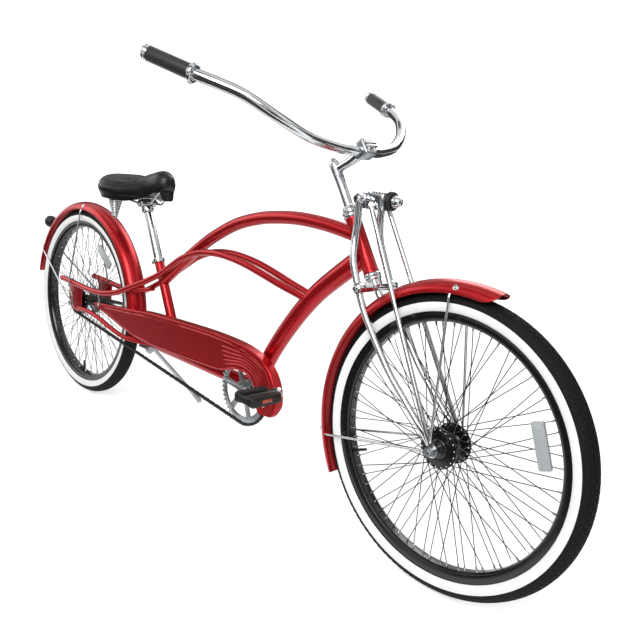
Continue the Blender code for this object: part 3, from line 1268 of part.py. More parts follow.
def lean_on_stand():
    """Leans the bicycle, then centres its bounding box over the origin."""
    root = frames["bicycle_frame"][0]
    root.rotation_euler = (-LEAN, 0.0, 0.0)
    bpy.context.view_layer.update()
    graph = bpy.context.evaluated_depsgraph_get()
    low = Vector((1e9, 1e9, 1e9))
    high = Vector((-1e9, -1e9, -1e9))
    for piece in parts.objects:
        if piece.type != "MESH":
            continue
        shape = piece.evaluated_get(graph)
        mesh = shape.to_mesh()
        for vert in mesh.vertices:
            corner = shape.matrix_world @ vert.co
            low = Vector(map(min, low, corner))
            high = Vector(map(max, high, corner))
        shape.to_mesh_clear()
    middle = (low + high) / 2
    root.location = (-middle.x, -middle.y, -low.z)
    print("bounds", [round(v, 4) for v in high - low])


set_frames()
make_head_tube()
make_main_tubes()
make_twin_tubes()
make_seat_tube()
make_rear_triangle()
make_bracket_shell()
make_saddle()
make_wheel("rear", REAR_HUB, "rear_wheel_axis", REAR_HUB_HALF)
make_wheel("front", FRONT_HUB, "front_wheel_axis", FRONT_HUB_HALF)
make_axle("rear_axle", REAR_HUB, DROPOUT_INNER + DROPOUT_THICKNESS + 0.0026, "bicycle_frame",
          [brake_arm()])
make_axle("front_axle", FRONT_HUB, FRONT_STAY_Y + 0.0023, "fork_pivot")
make_rear_fender()
make_fork_crown()
make_headset_top()
make_stem()
make_handlebar()
make_blades()
make_yoke()
make_coil_spring()
make_front_fender()
make_sprockets()
make_chain()
make_crank()
make_pedals()
make_chain_guard()
make_stand()
lean_on_stand()
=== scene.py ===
import json
import math
from math import acos, asin, atan2, cos, exp, hypot, pi, radians, sin, sqrt

import bmesh
import bpy
from mathutils import Matrix, Vector


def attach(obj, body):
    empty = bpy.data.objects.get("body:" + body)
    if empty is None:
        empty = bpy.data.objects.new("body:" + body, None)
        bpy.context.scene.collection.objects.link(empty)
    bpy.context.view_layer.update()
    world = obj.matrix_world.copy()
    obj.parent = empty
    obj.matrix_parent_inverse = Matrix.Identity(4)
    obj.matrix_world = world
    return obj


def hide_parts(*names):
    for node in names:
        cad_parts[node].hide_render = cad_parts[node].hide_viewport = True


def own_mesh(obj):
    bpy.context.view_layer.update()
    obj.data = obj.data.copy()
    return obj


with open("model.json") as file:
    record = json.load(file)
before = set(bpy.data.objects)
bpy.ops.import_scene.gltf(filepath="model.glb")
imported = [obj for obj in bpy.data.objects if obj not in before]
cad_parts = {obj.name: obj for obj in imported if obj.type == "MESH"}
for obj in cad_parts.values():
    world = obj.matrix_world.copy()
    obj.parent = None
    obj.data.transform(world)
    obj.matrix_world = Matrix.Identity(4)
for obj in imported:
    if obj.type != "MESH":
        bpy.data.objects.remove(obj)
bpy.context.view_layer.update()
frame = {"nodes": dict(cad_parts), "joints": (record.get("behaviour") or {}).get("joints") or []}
scene = bpy.context.scene
print("frame loaded with", len(frame["nodes"]), "nodes")

# The bicycle is drawn upright in metres, X forward, Y left, Z up, the rear tyre's contact at the
# origin, and each finished mesh is then leaned onto the side stand.
stance = {"leanDegrees": 7.4, "wheelbase": 1.579, "wheelRadius": 0.333, "axleBore": 0.0053}
axleBore = stance["axleBore"]
ahead, left, up = Vector((1, 0, 0)), Vector((0, 1, 0)), Vector((0, 0, 1))
rearHub = Vector((0, 0, stance["wheelRadius"]))
frontHub = Vector((stance["wheelbase"], 0, stance["wheelRadius"]))
leanTurn = Matrix.Rotation(radians(-stance["leanDegrees"]), 4, "X")
rearJoint = next(joint for joint in frame["joints"] if joint["name"] == "rear_wheel_roll")
leanPlace = Matrix.Translation(Vector(rearJoint["pos_m"]) - leanTurn @ rearHub) @ leanTurn
sides = {"right": -1.0, "left": 1.0}


# Node trees

def addNode(tree, kind, sockets=None, **settings):
    # A node or an output given for a socket is linked to it
    node = tree.nodes.new(kind)
    for key, value in settings.items():
        setattr(node, key, value)
    for key, value in (sockets or {}).items():
        if isinstance(value, bpy.types.Node):
            value = value.outputs[0]
        if isinstance(value, bpy.types.NodeSocket):
            tree.links.new(value, node.inputs[key])
        else:
            node.inputs[key].default_value = value
    return node


def newTree(name, inputs):
    tree = bpy.data.node_groups.new(name, "GeometryNodeTree")
    for label, kind, value in [("Geometry", "Geometry", None)] + inputs + [("Material", "Material", None)]:
        socket = tree.interface.new_socket(label, in_out="INPUT", socket_type="NodeSocket" + kind)
        if value is not None:
            socket.default_value = value
    tree.interface.new_socket("Geometry", in_out="OUTPUT", socket_type="NodeSocketGeometry")
    return tree, tree.nodes.new("NodeGroupInput").outputs


def endTree(tree, geometry, given):
    real = addNode(tree, "GeometryNodeRealizeInstances", {"Geometry": geometry})
    painted = addNode(tree, "GeometryNodeSetMaterial", {"Geometry": real, "Material": given["Material"]})
    addNode(tree, "NodeGroupOutput", {"Geometry": painted})
    return tree


def makeTubeTree():
    tree, given = newTree("tubeAlongPath", [("Sides", "Int", 24)])
    girth = addNode(tree, "GeometryNodeInputNamedAttribute", {"Name": "girth"}, data_type="FLOAT")
    line = addNode(tree, "GeometryNodeMeshToCurve", {"Mesh": given["Geometry"]})
    ring = addNode(tree, "GeometryNodeCurvePrimitiveCircle", {"Resolution": given["Sides"], "Radius": 1.0})
    skin = addNode(tree, "GeometryNodeCurveToMesh",
                   {"Curve": line, "Profile Curve": ring, "Scale": girth, "Fill Caps": True})
    return endTree(tree, skin, given)


def makeSpinTree():
    # Repeats a tile around the Y axis
    tree, given = newTree("repeatRoundAxle", [("Tile", "Object", None), ("Count", "Int", 18)])
    points = addNode(tree, "GeometryNodePoints", {"Count": given["Count"]})
    tile = addNode(tree, "GeometryNodeObjectInfo", {"Object": given["Tile"]})
    index = addNode(tree, "GeometryNodeInputIndex")
    share = addNode(tree, "ShaderNodeMath", {0: index, 1: given["Count"]}, operation="DIVIDE")
    angle = addNode(tree, "ShaderNodeMath", {0: share, 1: 2 * pi}, operation="MULTIPLY")
    turn = addNode(tree, "ShaderNodeCombineXYZ", {"Y": angle})
    copies = addNode(tree, "GeometryNodeInstanceOnPoints",
                     {"Points": points, "Instance": tile.outputs["Geometry"], "Rotation": turn})
    return endTree(tree, copies, given)


def makeLoopTree():
    # Sets a tile on every second point of a closed loop, from a first one on
    tree, given = newTree("repeatAlongLoop",
                          [("Tile", "Object", None), ("Count", "Int", 184), ("First", "Int", 0)])
    line = addNode(tree, "GeometryNodeMeshToCurve", {"Mesh": given["Geometry"]})
    points = addNode(tree, "GeometryNodeCurveToPoints", {"Curve": line, "Count": given["Count"]}, mode="COUNT")
    tile = addNode(tree, "GeometryNodeObjectInfo", {"Object": given["Tile"]})
    aim = addNode(tree, "FunctionNodeAlignRotationToVector", {"Vector": points.outputs["Tangent"]}, axis="X",
                  pivot_axis="Y")
    index = addNode(tree, "GeometryNodeInputIndex")
    moved = addNode(tree, "ShaderNodeMath", {0: index, 1: given["First"]}, operation="ADD")
    odd = addNode(tree, "ShaderNodeMath", {0: moved, 1: 2.0}, operation="MODULO")
    copies = addNode(tree, "GeometryNodeInstanceOnPoints",
                     {"Points": points, "Selection": odd, "Instance": tile.outputs["Geometry"], "Rotation": aim})
    return endTree(tree, copies, given)


tubeTree, spinTree, loopTree = makeTubeTree(), makeSpinTree(), makeLoopTree()


def newObject(name, data):
    made = bpy.data.objects.new(name, data)
    scene.collection.objects.link(made)
    return made


def takeMesh(carrier):
    # An object's finished mesh; the object goes
    graph = bpy.context.evaluated_depsgraph_get()
    graph.update()
    made = bpy.data.meshes.new_from_object(carrier.evaluated_get(graph))
    bpy.data.objects.remove(carrier)
    return made


def smoothed(mesh, angle=38.0):
    mesh.shade_smooth()
    mesh.set_sharp_from_angle(angle=radians(angle))
    return mesh


def runTree(tree, mesh=None, **values):
    carrier = newObject("carrier", mesh or bpy.data.meshes.new("carrier"))
    step = carrier.modifiers.new("Nodes", "NODES")
    step.node_group = tree
    for item in tree.interface.items_tree:
        if item.in_out == "INPUT" and item.name in values:
            step[item.identifier] = values[item.name]
    carrier.update_tag()
    return smoothed(takeMesh(carrier))


def repeated(tree, tileMesh, mesh=None, **values):
    tile = newObject("tile", tileMesh)
    made = runTree(tree, mesh, Tile=tile, Material=tileMesh.materials[0], **values)
    bpy.data.objects.remove(tile)
    return made


# Materials

def hexColour(code):
    # sRGB hex to linear light
    levels = [int(code[i:i + 2], 16) / 255.0 for i in (1, 3, 5)]
    return (*(v / 12.92 if v <= 0.04045 else ((v + 0.055) / 1.055) ** 2.4 for v in levels), 1.0)


def newMaterial(name, colour, metallic, roughness, grain=None, tint=None, looks=None, detail=3.0):
    # grain bumps the surface with noise and spreads the roughness with it: size and depth in mm, least
    # and most roughness. tint drifts the colour: light and dark hex, patch in mm.
    made = bpy.data.materials.new(name)
    made.use_nodes = True
    tree = made.node_tree
    shader = tree.nodes["Principled BSDF"]
    looks = {"Base Color": colour, "Metallic": metallic, "Roughness": roughness, **(looks or {})}
    for socket, value in looks.items():
        shader.inputs[socket].default_value = hexColour(value) if isinstance(value, str) else value
    if tint:
        place = addNode(tree, "ShaderNodeTexCoord")
        noise = addNode(tree, "ShaderNodeTexNoise",
                        {"Vector": place.outputs["Object"], "Scale": 1000.0 / tint[2], "Detail": 2.0})
        mix = addNode(tree, "ShaderNodeMix", {0: noise, "A": hexColour(tint[0]), "B": hexColour(tint[1])},
                      data_type="RGBA")
        tree.links.new(mix.outputs["Result"], shader.inputs["Base Color"])
    if grain:
        place = addNode(tree, "ShaderNodeTexCoord")
        noise = addNode(tree, "ShaderNodeTexNoise",
                        {"Vector": place.outputs["Object"], "Scale": 1000.0 / grain[0], "Detail": detail})
        finishSurface(tree, noise, grain[1], noise, grain[2:])
    return made


def finishSurface(tree, height, depthMm, noise=None, roughness=None):
    shader = tree.nodes["Principled BSDF"]
    bump = addNode(tree, "ShaderNodeBump", {"Height": height, "Distance": depthMm / 1000.0})
    tree.links.new(bump.outputs["Normal"], shader.inputs["Normal"])
    if roughness:
        spread = addNode(tree, "ShaderNodeMapRange", {"Value": noise, "From Min": 0.3, "From Max": 0.7,
                                                      "To Min": roughness[0], "To Max": roughness[1]})
        tree.links.new(spread.outputs["Result"], shader.inputs["Roughness"])


def makeVinyl():
    # Embossed upholstery vinyl: leather grain of 1.6 mm pebbles with a low oily gloss
    made = newMaterial("saddleVinyl", "#0D0D0E", 0.0, 0.4, None, ("#101011", "#0A0A0B", 40.0),
                       {"Specular IOR Level": 0.4})
    tree = made.node_tree
    place = addNode(tree, "ShaderNodeTexCoord").outputs["Object"]
    pebbles = addNode(tree, "ShaderNodeTexVoronoi", {"Vector": place, "Scale": 1000.0 / 1.6}, feature="SMOOTH_F1")
    noise = addNode(tree, "ShaderNodeTexNoise", {"Vector": place, "Scale": 1000.0 / 7.0})
    both = addNode(tree, "ShaderNodeMath", {0: pebbles, 1: noise}, operation="ADD")
    finishSurface(tree, both, 0.25, noise, (0.27, 0.40))
    return made


def makeReflector(name, colour, roughness):
    # Moulded acrylic reflector: 2.4 mm corner prisms under a smooth face
    made = newMaterial(name, colour, 0.0, roughness, looks={"IOR": 1.49, "Coat Weight": 1.0, "Coat Roughness": 0.03})
    tree = made.node_tree
    place = addNode(tree, "ShaderNodeTexCoord").outputs["Object"]
    prisms = addNode(tree, "ShaderNodeTexVoronoi", {"Vector": place, "Scale": 1000.0 / 2.4, "Randomness": 0.0},
                     distance="MANHATTAN")
    finishSurface(tree, prisms, 0.6)
    return made


# Candy enamel: tinted lacquer over bright flake under clear coat, so it glows red where lit and
# falls to wine red in shade. The flake is drawn at 1.5 mm, ten times its size, to show.
enamel = newMaterial("candyEnamel", "#B00B15", 0.72, 0.32, (1.5, 0.012, 0.30, 0.40), ("#BA0C17", "#A20912", 60.0),
                     {"Coat Weight": 0.25, "Coat Roughness": 0.06, "Coat IOR": 1.5})
# Chrome plate on polished steel: hard bright reflections with a faint wave left by the buffing wheel
chrome = newMaterial("chromePlate", "#CCCED0", 1.0, 0.14, (14.0, 0.02, 0.11, 0.18), detail=2.0)
# Bright zinc plate on pressed and drawn steel: grey, softly reflecting, with fine crystals
zinc = newMaterial("zincPlate", "#A9ADB0", 1.0, 0.3, (1.2, 0.01, 0.22, 0.38), ("#B4B7BA", "#8F9396", 9.0))
# Baked black enamel on the rims and hub shells: glossy, with a slight orange peel
blackPaint = newMaterial("blackEnamel", "#0C0C0D", 0.0, 0.24, (5.0, 0.03, 0.18, 0.28), None,
                         {"Coat Weight": 0.12, "Coat Roughness": 0.08})
# Blackened stainless wire: dark with a thin bright line along it
spokeSteel = newMaterial("blackenedSpoke", "#161617", 0.3, 0.34, (2.0, 0.005, 0.25, 0.36))
# Nickel-plated brass nipples and screws: small warm glints
nickel = newMaterial("nickelPlate", "#CFCDC6", 1.0, 0.18, (2.5, 0.008, 0.14, 0.24))
# Moulded tyre rubber: matt black, a little dusty on its high spots
tyreBlack = newMaterial("tyreRubber", "#0B0B0C", 0.0, 0.75, (1.2, 0.06, 0.62, 0.8), ("#0F0F10", "#08080A", 25.0),
                        {"Specular IOR Level": 0.22})
# White sidewall compound: soft sheen, faintly cream and scuffed
tyreWhite = newMaterial("whitewallRubber", "#F4F4F2", 0.0, 0.5, (2.0, 0.03, 0.42, 0.58),
                        ("#F8F8F6", "#ECECE9", 30.0))
vinyl = makeVinyl()
# Soft thermoplastic rubber: dark grey black, satin
gripBlack = newMaterial("gripRubber", "#1A1A1B", 0.0, 0.52, (1.5, 0.012, 0.46, 0.56), None,
                        {"Sheen Weight": 0.15, "Sheen Roughness": 0.4})
# Injection-moulded ABS: black, spark-eroded texture of about 1 mm
plastic = newMaterial("mouldedBlackPlastic", "#121212", 0.0, 0.5, (1.0, 0.03, 0.42, 0.58))
clearLens = makeReflector("clearReflector", "#A7ACAD", 0.25)
amberLens = makeReflector("amberReflector", "#B4470C", 0.2)
redLens = makeReflector("redReflector", "#7E0A10", 0.2)
# Oiled chain steel: near black between the plates, worn brighter on their edges
chainSteel = newMaterial("oiledChainSteel", "#3B3A38", 0.9, 0.38, (1.0, 0.01, 0.3, 0.46),
                         ("#4A4947", "#262524", 6.0))
print("materials made")


# Shapes: each function gives a mesh with its material

def closedMesh(shape, finish, angle=38.0):
    mesh = bpy.data.meshes.new("shape")
    bmesh.ops.remove_doubles(shape, verts=shape.verts, dist=0.000002)
    bmesh.ops.recalc_face_normals(shape, faces=shape.faces)
    shape.to_mesh(mesh)
    shape.free()
    mesh.materials.append(finish)
    return smoothed(mesh, angle)


def facing(point, direction):
    turn = up.rotation_difference(Vector(direction).normalized())
    return Matrix.Translation(point) @ turn.to_matrix().to_4x4()


def onAxle(hub):
    # Turns a lathe's axis onto the bicycle's left, its angles running from forward to up
    return Matrix.Translation(hub) @ Matrix(((1, 0, 0), (0, 0, 1), (0, 1, 0))).to_4x4()


def smoothPath(points, perSpan=8):
    given = [Vector(point) for point in points]
    padded = [given[0] * 2 - given[1]] + given + [given[-1] * 2 - given[-2]]
    path = []
    for i in range(1, len(padded) - 2):
        p0, p1, p2, p3 = padded[i - 1:i + 3]
        for t in [k / perSpan for k in range(perSpan)]:
            path.append(0.5 * (2 * p1 + (p2 - p0) * t + (2 * p0 - 5 * p1 + 4 * p2 - p3) * t ** 2
                               + (3 * p1 - p0 - 3 * p2 + p3) * t ** 3))
    return path + [given[-1]]


def mirrored(points, side):
    return [Vector((x, side * y, z)) for x, y, z in points]


def bothWays(half):
    # A half outline and its mirror image, as one loop
    return half + [(x, -y) for x, y in reversed(half)]


def ramp(value, start, end):
    # 0 before start, 1 after end, smooth between
    t = min(max((value - start) / (end - start), 0.0), 1.0)
    return t * t * (3.0 - 2.0 * t)


def tube(points, radius, finish, steps=24, perSpan=8):
    # Points of two numbers lie in the bicycle's own plane; radius may be a function of the share
    points = [Vector((p[0], 0, p[1]) if len(p) == 2 else p) for p in points]
    path = smoothPath(points, perSpan) if perSpan else points
    line = bpy.data.meshes.new("line")
    line.from_pydata(path, [(i, i + 1) for i in range(len(path) - 1)], [])
    last = len(path) - 1
    line.attributes.new("girth", "FLOAT", "POINT").data.foreach_set(
        "value", [radius(i / last) if callable(radius) else radius for i in range(last + 1)])
    return runTree(tubeTree, line, Sides=steps, Material=finish)


def softened(profile, size, ring):
    # Rounds the corners of a lathe profile
    if not size:
        return profile
    rounded = []
    for i, corner in enumerate(profile):
        here = Vector(corner)
        back = Vector(profile[i - 1]) - here
        fore = Vector(profile[(i + 1) % len(profile)]) - here
        isEnd = not ring and i in (0, len(profile) - 1)
        if isEnd or back.length < 1e-6 or fore.length < 1e-6 or back.angle(fore) > radians(158.0):
            rounded.append(tuple(here))
            continue
        start = here + back.normalized() * min(size, back.length * 0.4)
        end = here + fore.normalized() * min(size, fore.length * 0.4)
        for t in (0.0, 0.5, 1.0):
            rounded.append(tuple(start * (1 - t) ** 2 + here * 2 * t * (1 - t) + end * t * t))
    return rounded


def turned(profile, place, finish, steps=64, soften=0.0005, angle=38.0):
    # (radius, height) pairs turned about the place's Z axis; one that starts off the axis is a ring
    ring = profile[0][0] > 0.0
    outline = softened(profile, soften, ring)
    shape = bmesh.new()
    rows = []
    for i in range(steps):
        turn = radians(360.0 * i / steps)
        rows.append([shape.verts.new(place @ Vector((r * cos(turn), r * sin(turn), h)))
                     for r, h in outline])
    for near, far in zip(rows, rows[1:] + rows[:1]):
        for k in range(len(outline) if ring else len(outline) - 1):
            n = (k + 1) % len(outline)
            corners = [near[k], far[k], far[n], near[n]]
            if outline[k][0] < 1e-7:
                corners.pop(1)
            elif outline[n][0] < 1e-7:
                corners.pop(2)
            shape.faces.new(corners)
    return closedMesh(shape, finish, angle)


def band(inner, outer, low, high):
    return [(inner, low), (outer, low), (outer, high), (inner, high)]


def washer(point, way, inner, outer, low, high, finish, steps=48, soften=0.0005):
    # A plain ring, or a disc where inner is 0, between two distances along a way
    return turned(band(inner, outer, low, high), facing(point, way), finish, steps, soften)


def bar(start, end, radius, finish, steps=32, soften=0.0005, endRadius=None):
    start, end = Vector(start), Vector(end)
    length = (end - start).length
    profile = [(0.0, 0.0), (radius, 0.0), (endRadius or radius, length), (0.0, length)]
    return turned(profile, facing(start, end - start), finish, steps, soften)


def rod(point, way, low, high, radius, finish, steps=32, soften=0.0005, endRadius=None):
    return bar(point + way * low, point + way * high, radius, finish, steps, soften, endRadius)


def hexNut(point, way, low, high, radius, finish, turn=0.0):
    # A chamfered hexagon nut or bolt head
    start, end = point + way * low, point + way * high
    length = (end - start).length
    cap = min(0.0012, length * 0.2)
    profile = [(0.0, 0.0), (radius, 0.0), (radius, length - cap), (radius - cap, length), (0.0, length)]
    place = facing(start, end - start) @ Matrix.Rotation(radians(turn), 4, "Z")
    return turned(profile, place, finish, 6, 0.0, 20.0)


def screw(point, out, radius):
    # A round-headed screw with a driver recess
    height = 0.0022
    profile = [(0.0, -0.001), (radius, -0.001), (radius, height * 0.3), (radius * 0.72, height * 0.85),
               (radius * 0.28, height), (radius * 0.2, height * 0.35), (0.0, height * 0.35)]
    return turned(profile, facing(point, out), nickel, 24, 0.0002)


def block(low, high, finish, bevel=0.001, segments=3, place=None):
    shape = bmesh.new()
    bmesh.ops.create_cube(shape, size=1.0)
    low, high = Vector(low), Vector(high)
    size = high - low
    bmesh.ops.scale(shape, vec=size, verts=shape.verts)
    bmesh.ops.translate(shape, vec=(high + low) / 2, verts=shape.verts)
    bmesh.ops.bevel(shape, geom=shape.edges, offset=min(bevel, min(size) * 0.45), segments=segments, profile=0.5,
                    affect="EDGES")
    if place:
        bmesh.ops.transform(shape, matrix=place, verts=shape.verts)
    return closedMesh(shape, finish)


def plate(outlines, half, finish, place, bevel=0.0003):
    # A flat plate of the given outlines, the inner ones holes, its rims rounded
    curve = bpy.data.curves.new("plate", "CURVE")
    curve.dimensions = "2D"
    curve.fill_mode = "BOTH"
    curve.extrude = half - bevel
    curve.bevel_depth = bevel
    curve.offset = -bevel
    curve.bevel_resolution = 1
    for outline in outlines:
        spline = curve.splines.new("POLY")
        spline.points.add(len(outline) - 1)
        spline.use_cyclic_u = True
        for corner, (x, y) in zip(spline.points, outline):
            corner.co = (x, y, 0.0, 1.0)
    shape = bmesh.new()
    shape.from_mesh(takeMesh(newObject("plate", curve)))
    bmesh.ops.transform(shape, matrix=place, verts=shape.verts)
    return closedMesh(shape, finish)


def loft(shape, loops):
    # Skins a row of equal loops and closes both ends
    for near, far in zip(loops, loops[1:]):
        for k in range(len(near)):
            n = (k + 1) % len(near)
            shape.faces.new([near[k], far[k], far[n], near[n]])
    shape.faces.new(loops[0])
    shape.faces.new(list(reversed(loops[-1])))


def addCone(shape, start, end, radius, endRadius, segments):
    bmesh.ops.create_cone(shape, cap_ends=True, segments=segments, radius1=radius, radius2=endRadius,
                          depth=(end - start).length, matrix=facing((start + end) / 2, end - start))


def sideways(y):
    # Stands a plate up in the bicycle's own plane, at y to its left
    return Matrix.Translation((0.0, y, 0.0)) @ Matrix.Rotation(pi / 2, 4, "X")


def polar(hub, degrees, radius, y=0.0):
    turn = radians(degrees)
    return Vector((hub.x + radius * cos(turn), y, hub.z + radius * sin(turn)))


def flattenEnd(mesh, middle, half, girth, reach):
    # Presses a rod flat towards the plane y = middle.y near a point
    for vert in mesh.vertices:
        away = Vector((vert.co.x - middle.x, 0.0, vert.co.z - middle.z)).length
        share = 1.0 - ramp(away, *reach)
        vert.co.y += (middle.y + (vert.co.y - middle.y) * half / girth - vert.co.y) * share


def keepPiece(name, body, slot, node, *shapes):
    # Joins shapes into one piece, leans it, and hangs it on its body in place of its CAD node
    whole = bmesh.new()
    finishes = []
    for mesh in shapes:
        finishes += [finish for finish in mesh.materials if finish not in finishes]
        numbers = [finishes.index(finish) for finish in mesh.materials]
        before = len(whole.faces)
        whole.from_mesh(mesh)
        whole.faces.ensure_lookup_table()
        for face in whole.faces[before:]:
            face.material_index = numbers[face.material_index]
        bpy.data.meshes.remove(mesh)
    made = bpy.data.meshes.new(name)
    whole.to_mesh(made)
    whole.free()
    for finish in finishes:
        made.materials.append(finish)
    if "girth" in made.attributes:
        made.attributes.remove(made.attributes["girth"])
    made.transform(leanPlace)
    piece = newObject(name, made)
    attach(piece, body)
    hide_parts(node)
    return piece


# Wheels

wheel = {
    "section": 0.0265,          # tyre's half width
    "whiteInner": 0.2905,       # white band, from the rim outwards
    "whiteOuter": 0.3105,
    "rimSeat": 0.2875,
    "rimInner": 0.268,
    "rimHalf": 0.0185,
    "rimTop": 0.2922,
    "treadTiles": 120,
    "flange": 0.045,
    "flangeY": 0.027,
    "hubHalf": 0.0495,
    "spokeTiles": 18,           # of four spokes each
    "spoke": 0.001,
    "spokeLead": 40.0,          # degrees that a spoke leans round the hub
}
wheelFittings = {
    "front": {"hub": frontHub, "valve": 202.0, "reflector": (20.0, 0.230)},
    "rear": {"hub": rearHub, "valve": 265.0, "reflector": (53.8, 0.227)},
}


def spun(tile, finish, hub, count, angle=38.0):
    made = repeated(spinTree, closedMesh(tile, finish, angle), Count=count)
    made.transform(Matrix.Translation(hub))
    return made


def onTyre(theta, phi, height):
    # A point over the tyre's carcass: theta round the wheel, phi from the crown, in degrees
    theta, phi = radians(theta), radians(phi)
    radius = stance["wheelRadius"] - wheel["section"] + height * cos(phi)
    return Vector((radius * cos(theta), height * sin(phi), radius * sin(theta)))


def addLug(shape, theta, phi, thetaHalf, phiHalf, low, high):
    rings = []
    for height, inset in ((low, 0.0), (high - 0.0004, 0.0), (high, 0.16)):
        rings.append([shape.verts.new(onTyre(theta + t * thetaHalf * (1 - inset), phi + p * phiHalf * (1 - inset),
                                             height)) for t, p in ((-1, -1), (1, -1), (1, 1), (-1, 1))])
    loft(shape, rings)


def makeTyre(prefix, hub):
    middle = stance["wheelRadius"] - wheel["section"]
    carcass = wheel["section"] - 0.0014
    inner, outer = wheel["whiteInner"], wheel["whiteOuter"]

    def sidewall(radius, swell=0.0):
        return (radius, sqrt((carcass + swell) ** 2 - (radius - middle) ** 2))

    half = [(wheel["rimTop"] - 0.004, 0.0162), (inner - 0.0012, 0.0182), sidewall(inner - 0.0002)]
    half += [sidewall(inner + (outer - inner) * i / 8.0, 0.0006) for i in range(9)]
    half.append(sidewall(outer + 0.0002))
    start = asin((outer + 0.0002 - middle) / carcass)
    for angle in [start + (pi / 2 - start) * i / 8.0 for i in range(1, 9)]:
        half.append((middle + carcass * sin(angle), carcass * cos(angle)))
    crown = half.pop()
    skin = turned(half + [crown] + bothWays(half)[len(half):], onAxle(hub), tyreBlack, 160, 0.0, 50.0)
    skin.materials.append(tyreWhite)
    for face in skin.polygons:
        away = hypot(face.center.x - hub.x, face.center.z - hub.z)
        if inner - 0.0001 < away < outer + 0.0001 and abs(face.center.y) > 0.017:
            face.material_index = 1
    tile = bmesh.new()
    top = wheel["section"] - 0.0003
    pitch = 360.0 / wheel["treadTiles"]
    for theta, phi, length, width in ((0.0, 0.0, 0.42, 7.5), (0.5, 18.0, 0.38, 7.0), (0.0, 36.0, 0.36, 7.5),
                                      (0.5, 55.0, 0.26, 8.5), (0.0, 57.0, 0.12, 6.0)):
        for side in (1, -1) if phi else (1,):
            addLug(tile, theta * pitch, side * phi, length * pitch, width, carcass - 0.0006,
                   top if phi < 50 else top - 0.0006)
    keepPiece(prefix + "Tyre", prefix + "_wheel", "tyre_rubber", prefix + "_tyre", skin,
              spun(tile, tyreBlack, hub, wheel["treadTiles"], 20.0))


def makeRim(prefix, hub, valve):
    inner, half, seat, top = wheel["rimInner"], wheel["rimHalf"], wheel["rimSeat"], wheel["rimTop"]
    profile = [(inner, -half * 0.5), (inner + 0.0035, -half * 0.86), (inner + 0.01, -half), (top, -half),
               (top, -half + 0.0022), (seat, -half + 0.0022), (seat - 0.004, -half * 0.4)]
    ferrules = bmesh.new()
    for i in range(4):
        side = 1.0 if i % 2 else -1.0
        degrees = 90.0 / wheel["spokeTiles"] * i
        addCone(ferrules, polar(Vector(), degrees, inner + 0.0012, side * 0.0042),
                polar(Vector(), degrees, inner - 0.0095, side * 0.005), 0.0026, 0.0019, 8)
    base, neck, tip = (polar(hub, valve, inner + rise) for rise in (0.002, -0.02, -0.036))
    keepPiece(prefix + "Rim", prefix + "_wheel", "black_enamel", prefix + "_rim",
              turned(bothWays(profile), onAxle(hub), blackPaint, 160, 0.0007),
              spun(ferrules, nickel, hub, wheel["spokeTiles"]),
              bar(base, neck, 0.0042, gripBlack, 16, endRadius=0.0034),
              bar(neck, tip, 0.0036, plastic, 12, endRadius=0.0032))


def makeHub(prefix, hub, reflector):
    flange, y, half, wire, thin = wheel["flange"], wheel["flangeY"], wheel["hubHalf"], wheel["spoke"], 0.0022
    profile = [(axleBore, half), (0.0085, half), (0.0098, half - 0.003), (0.0098, half - 0.01),
               (0.0165, half - 0.0125), (0.0175, y + thin + 0.002), (0.0215, y + thin), (flange, y + thin),
               (flange, y - thin), (0.0215, y - thin), (0.0165, y - thin - 0.005)]
    wires, heads = bmesh.new(), bmesh.new()
    for side in (-1.0, 1.0):
        for number, lead in ((0, 1.0), (1, -1.0)):
            root = 360.0 / wheel["spokeTiles"] * (0.5 * number + (0.25 if side > 0 else 0.0))
            start = polar(Vector(), root, flange - 0.0042, side * (y + lead * (thin + wire + 0.0003)))
            end = polar(Vector(), root + lead * wheel["spokeLead"], wheel["rimInner"] - 0.006, side * 0.0046)
            inside = polar(Vector(), root, flange - 0.0042, side * (y - lead * (thin + 0.0006)))
            addCone(wires, start, end, wire, wire, 6)
            addCone(wires, start, inside, wire, wire, 6)
            bmesh.ops.create_uvsphere(heads, u_segments=8, v_segments=5, radius=0.0021,
                                      matrix=Matrix.Translation(inside))
    # The reflector is clipped across the right-hand spokes, its length round the wheel
    degrees, radius = reflector
    place = Matrix.Translation(polar(hub, degrees, radius, -0.013)) @ Matrix.Rotation(-radians(degrees), 4, "Y")
    keepPiece(prefix + "Hub", prefix + "_wheel", "black_enamel", prefix + "_hub",
              turned(bothWays(profile), onAxle(hub), blackPaint, 72, 0.0006),
              spun(wires, spokeSteel, hub, wheel["spokeTiles"]), spun(heads, nickel, hub, wheel["spokeTiles"]),
              block((-0.014, -0.0055, -0.048), (0.014, 0.005, 0.048), clearLens, 0.004, 4, place),
              block((-0.006, 0.004, -0.036), (0.006, 0.0095, 0.036), plastic, 0.0015, 2, place))


def makeAxle(prefix, seat, body, *extras):
    # The axle's threaded ends, with a washer and nut each side
    hub = wheelFittings[prefix]["hub"]
    shapes = [rod(hub, left, -seat - 0.0135, seat + 0.0135, 0.0049, zinc, 24)]
    for side in sides.values():
        face = hub + left * side * seat
        shapes += [washer(face, left * side, 0.0052, 0.0105, 0.0, 0.0014, zinc, 32),
                   hexNut(face, left * side, 0.0014, 0.0098, 0.0092, zinc, 11.0)]
    keepPiece(prefix + "Axle", body, "zinc_steel", prefix + "_axle", *shapes, *extras)


for prefix, fitting in wheelFittings.items():
    makeTyre(prefix, fitting["hub"])
    makeRim(prefix, fitting["hub"], fitting["valve"])
    makeHub(prefix, fitting["hub"], fitting["reflector"])
print("wheels made")


# Frame

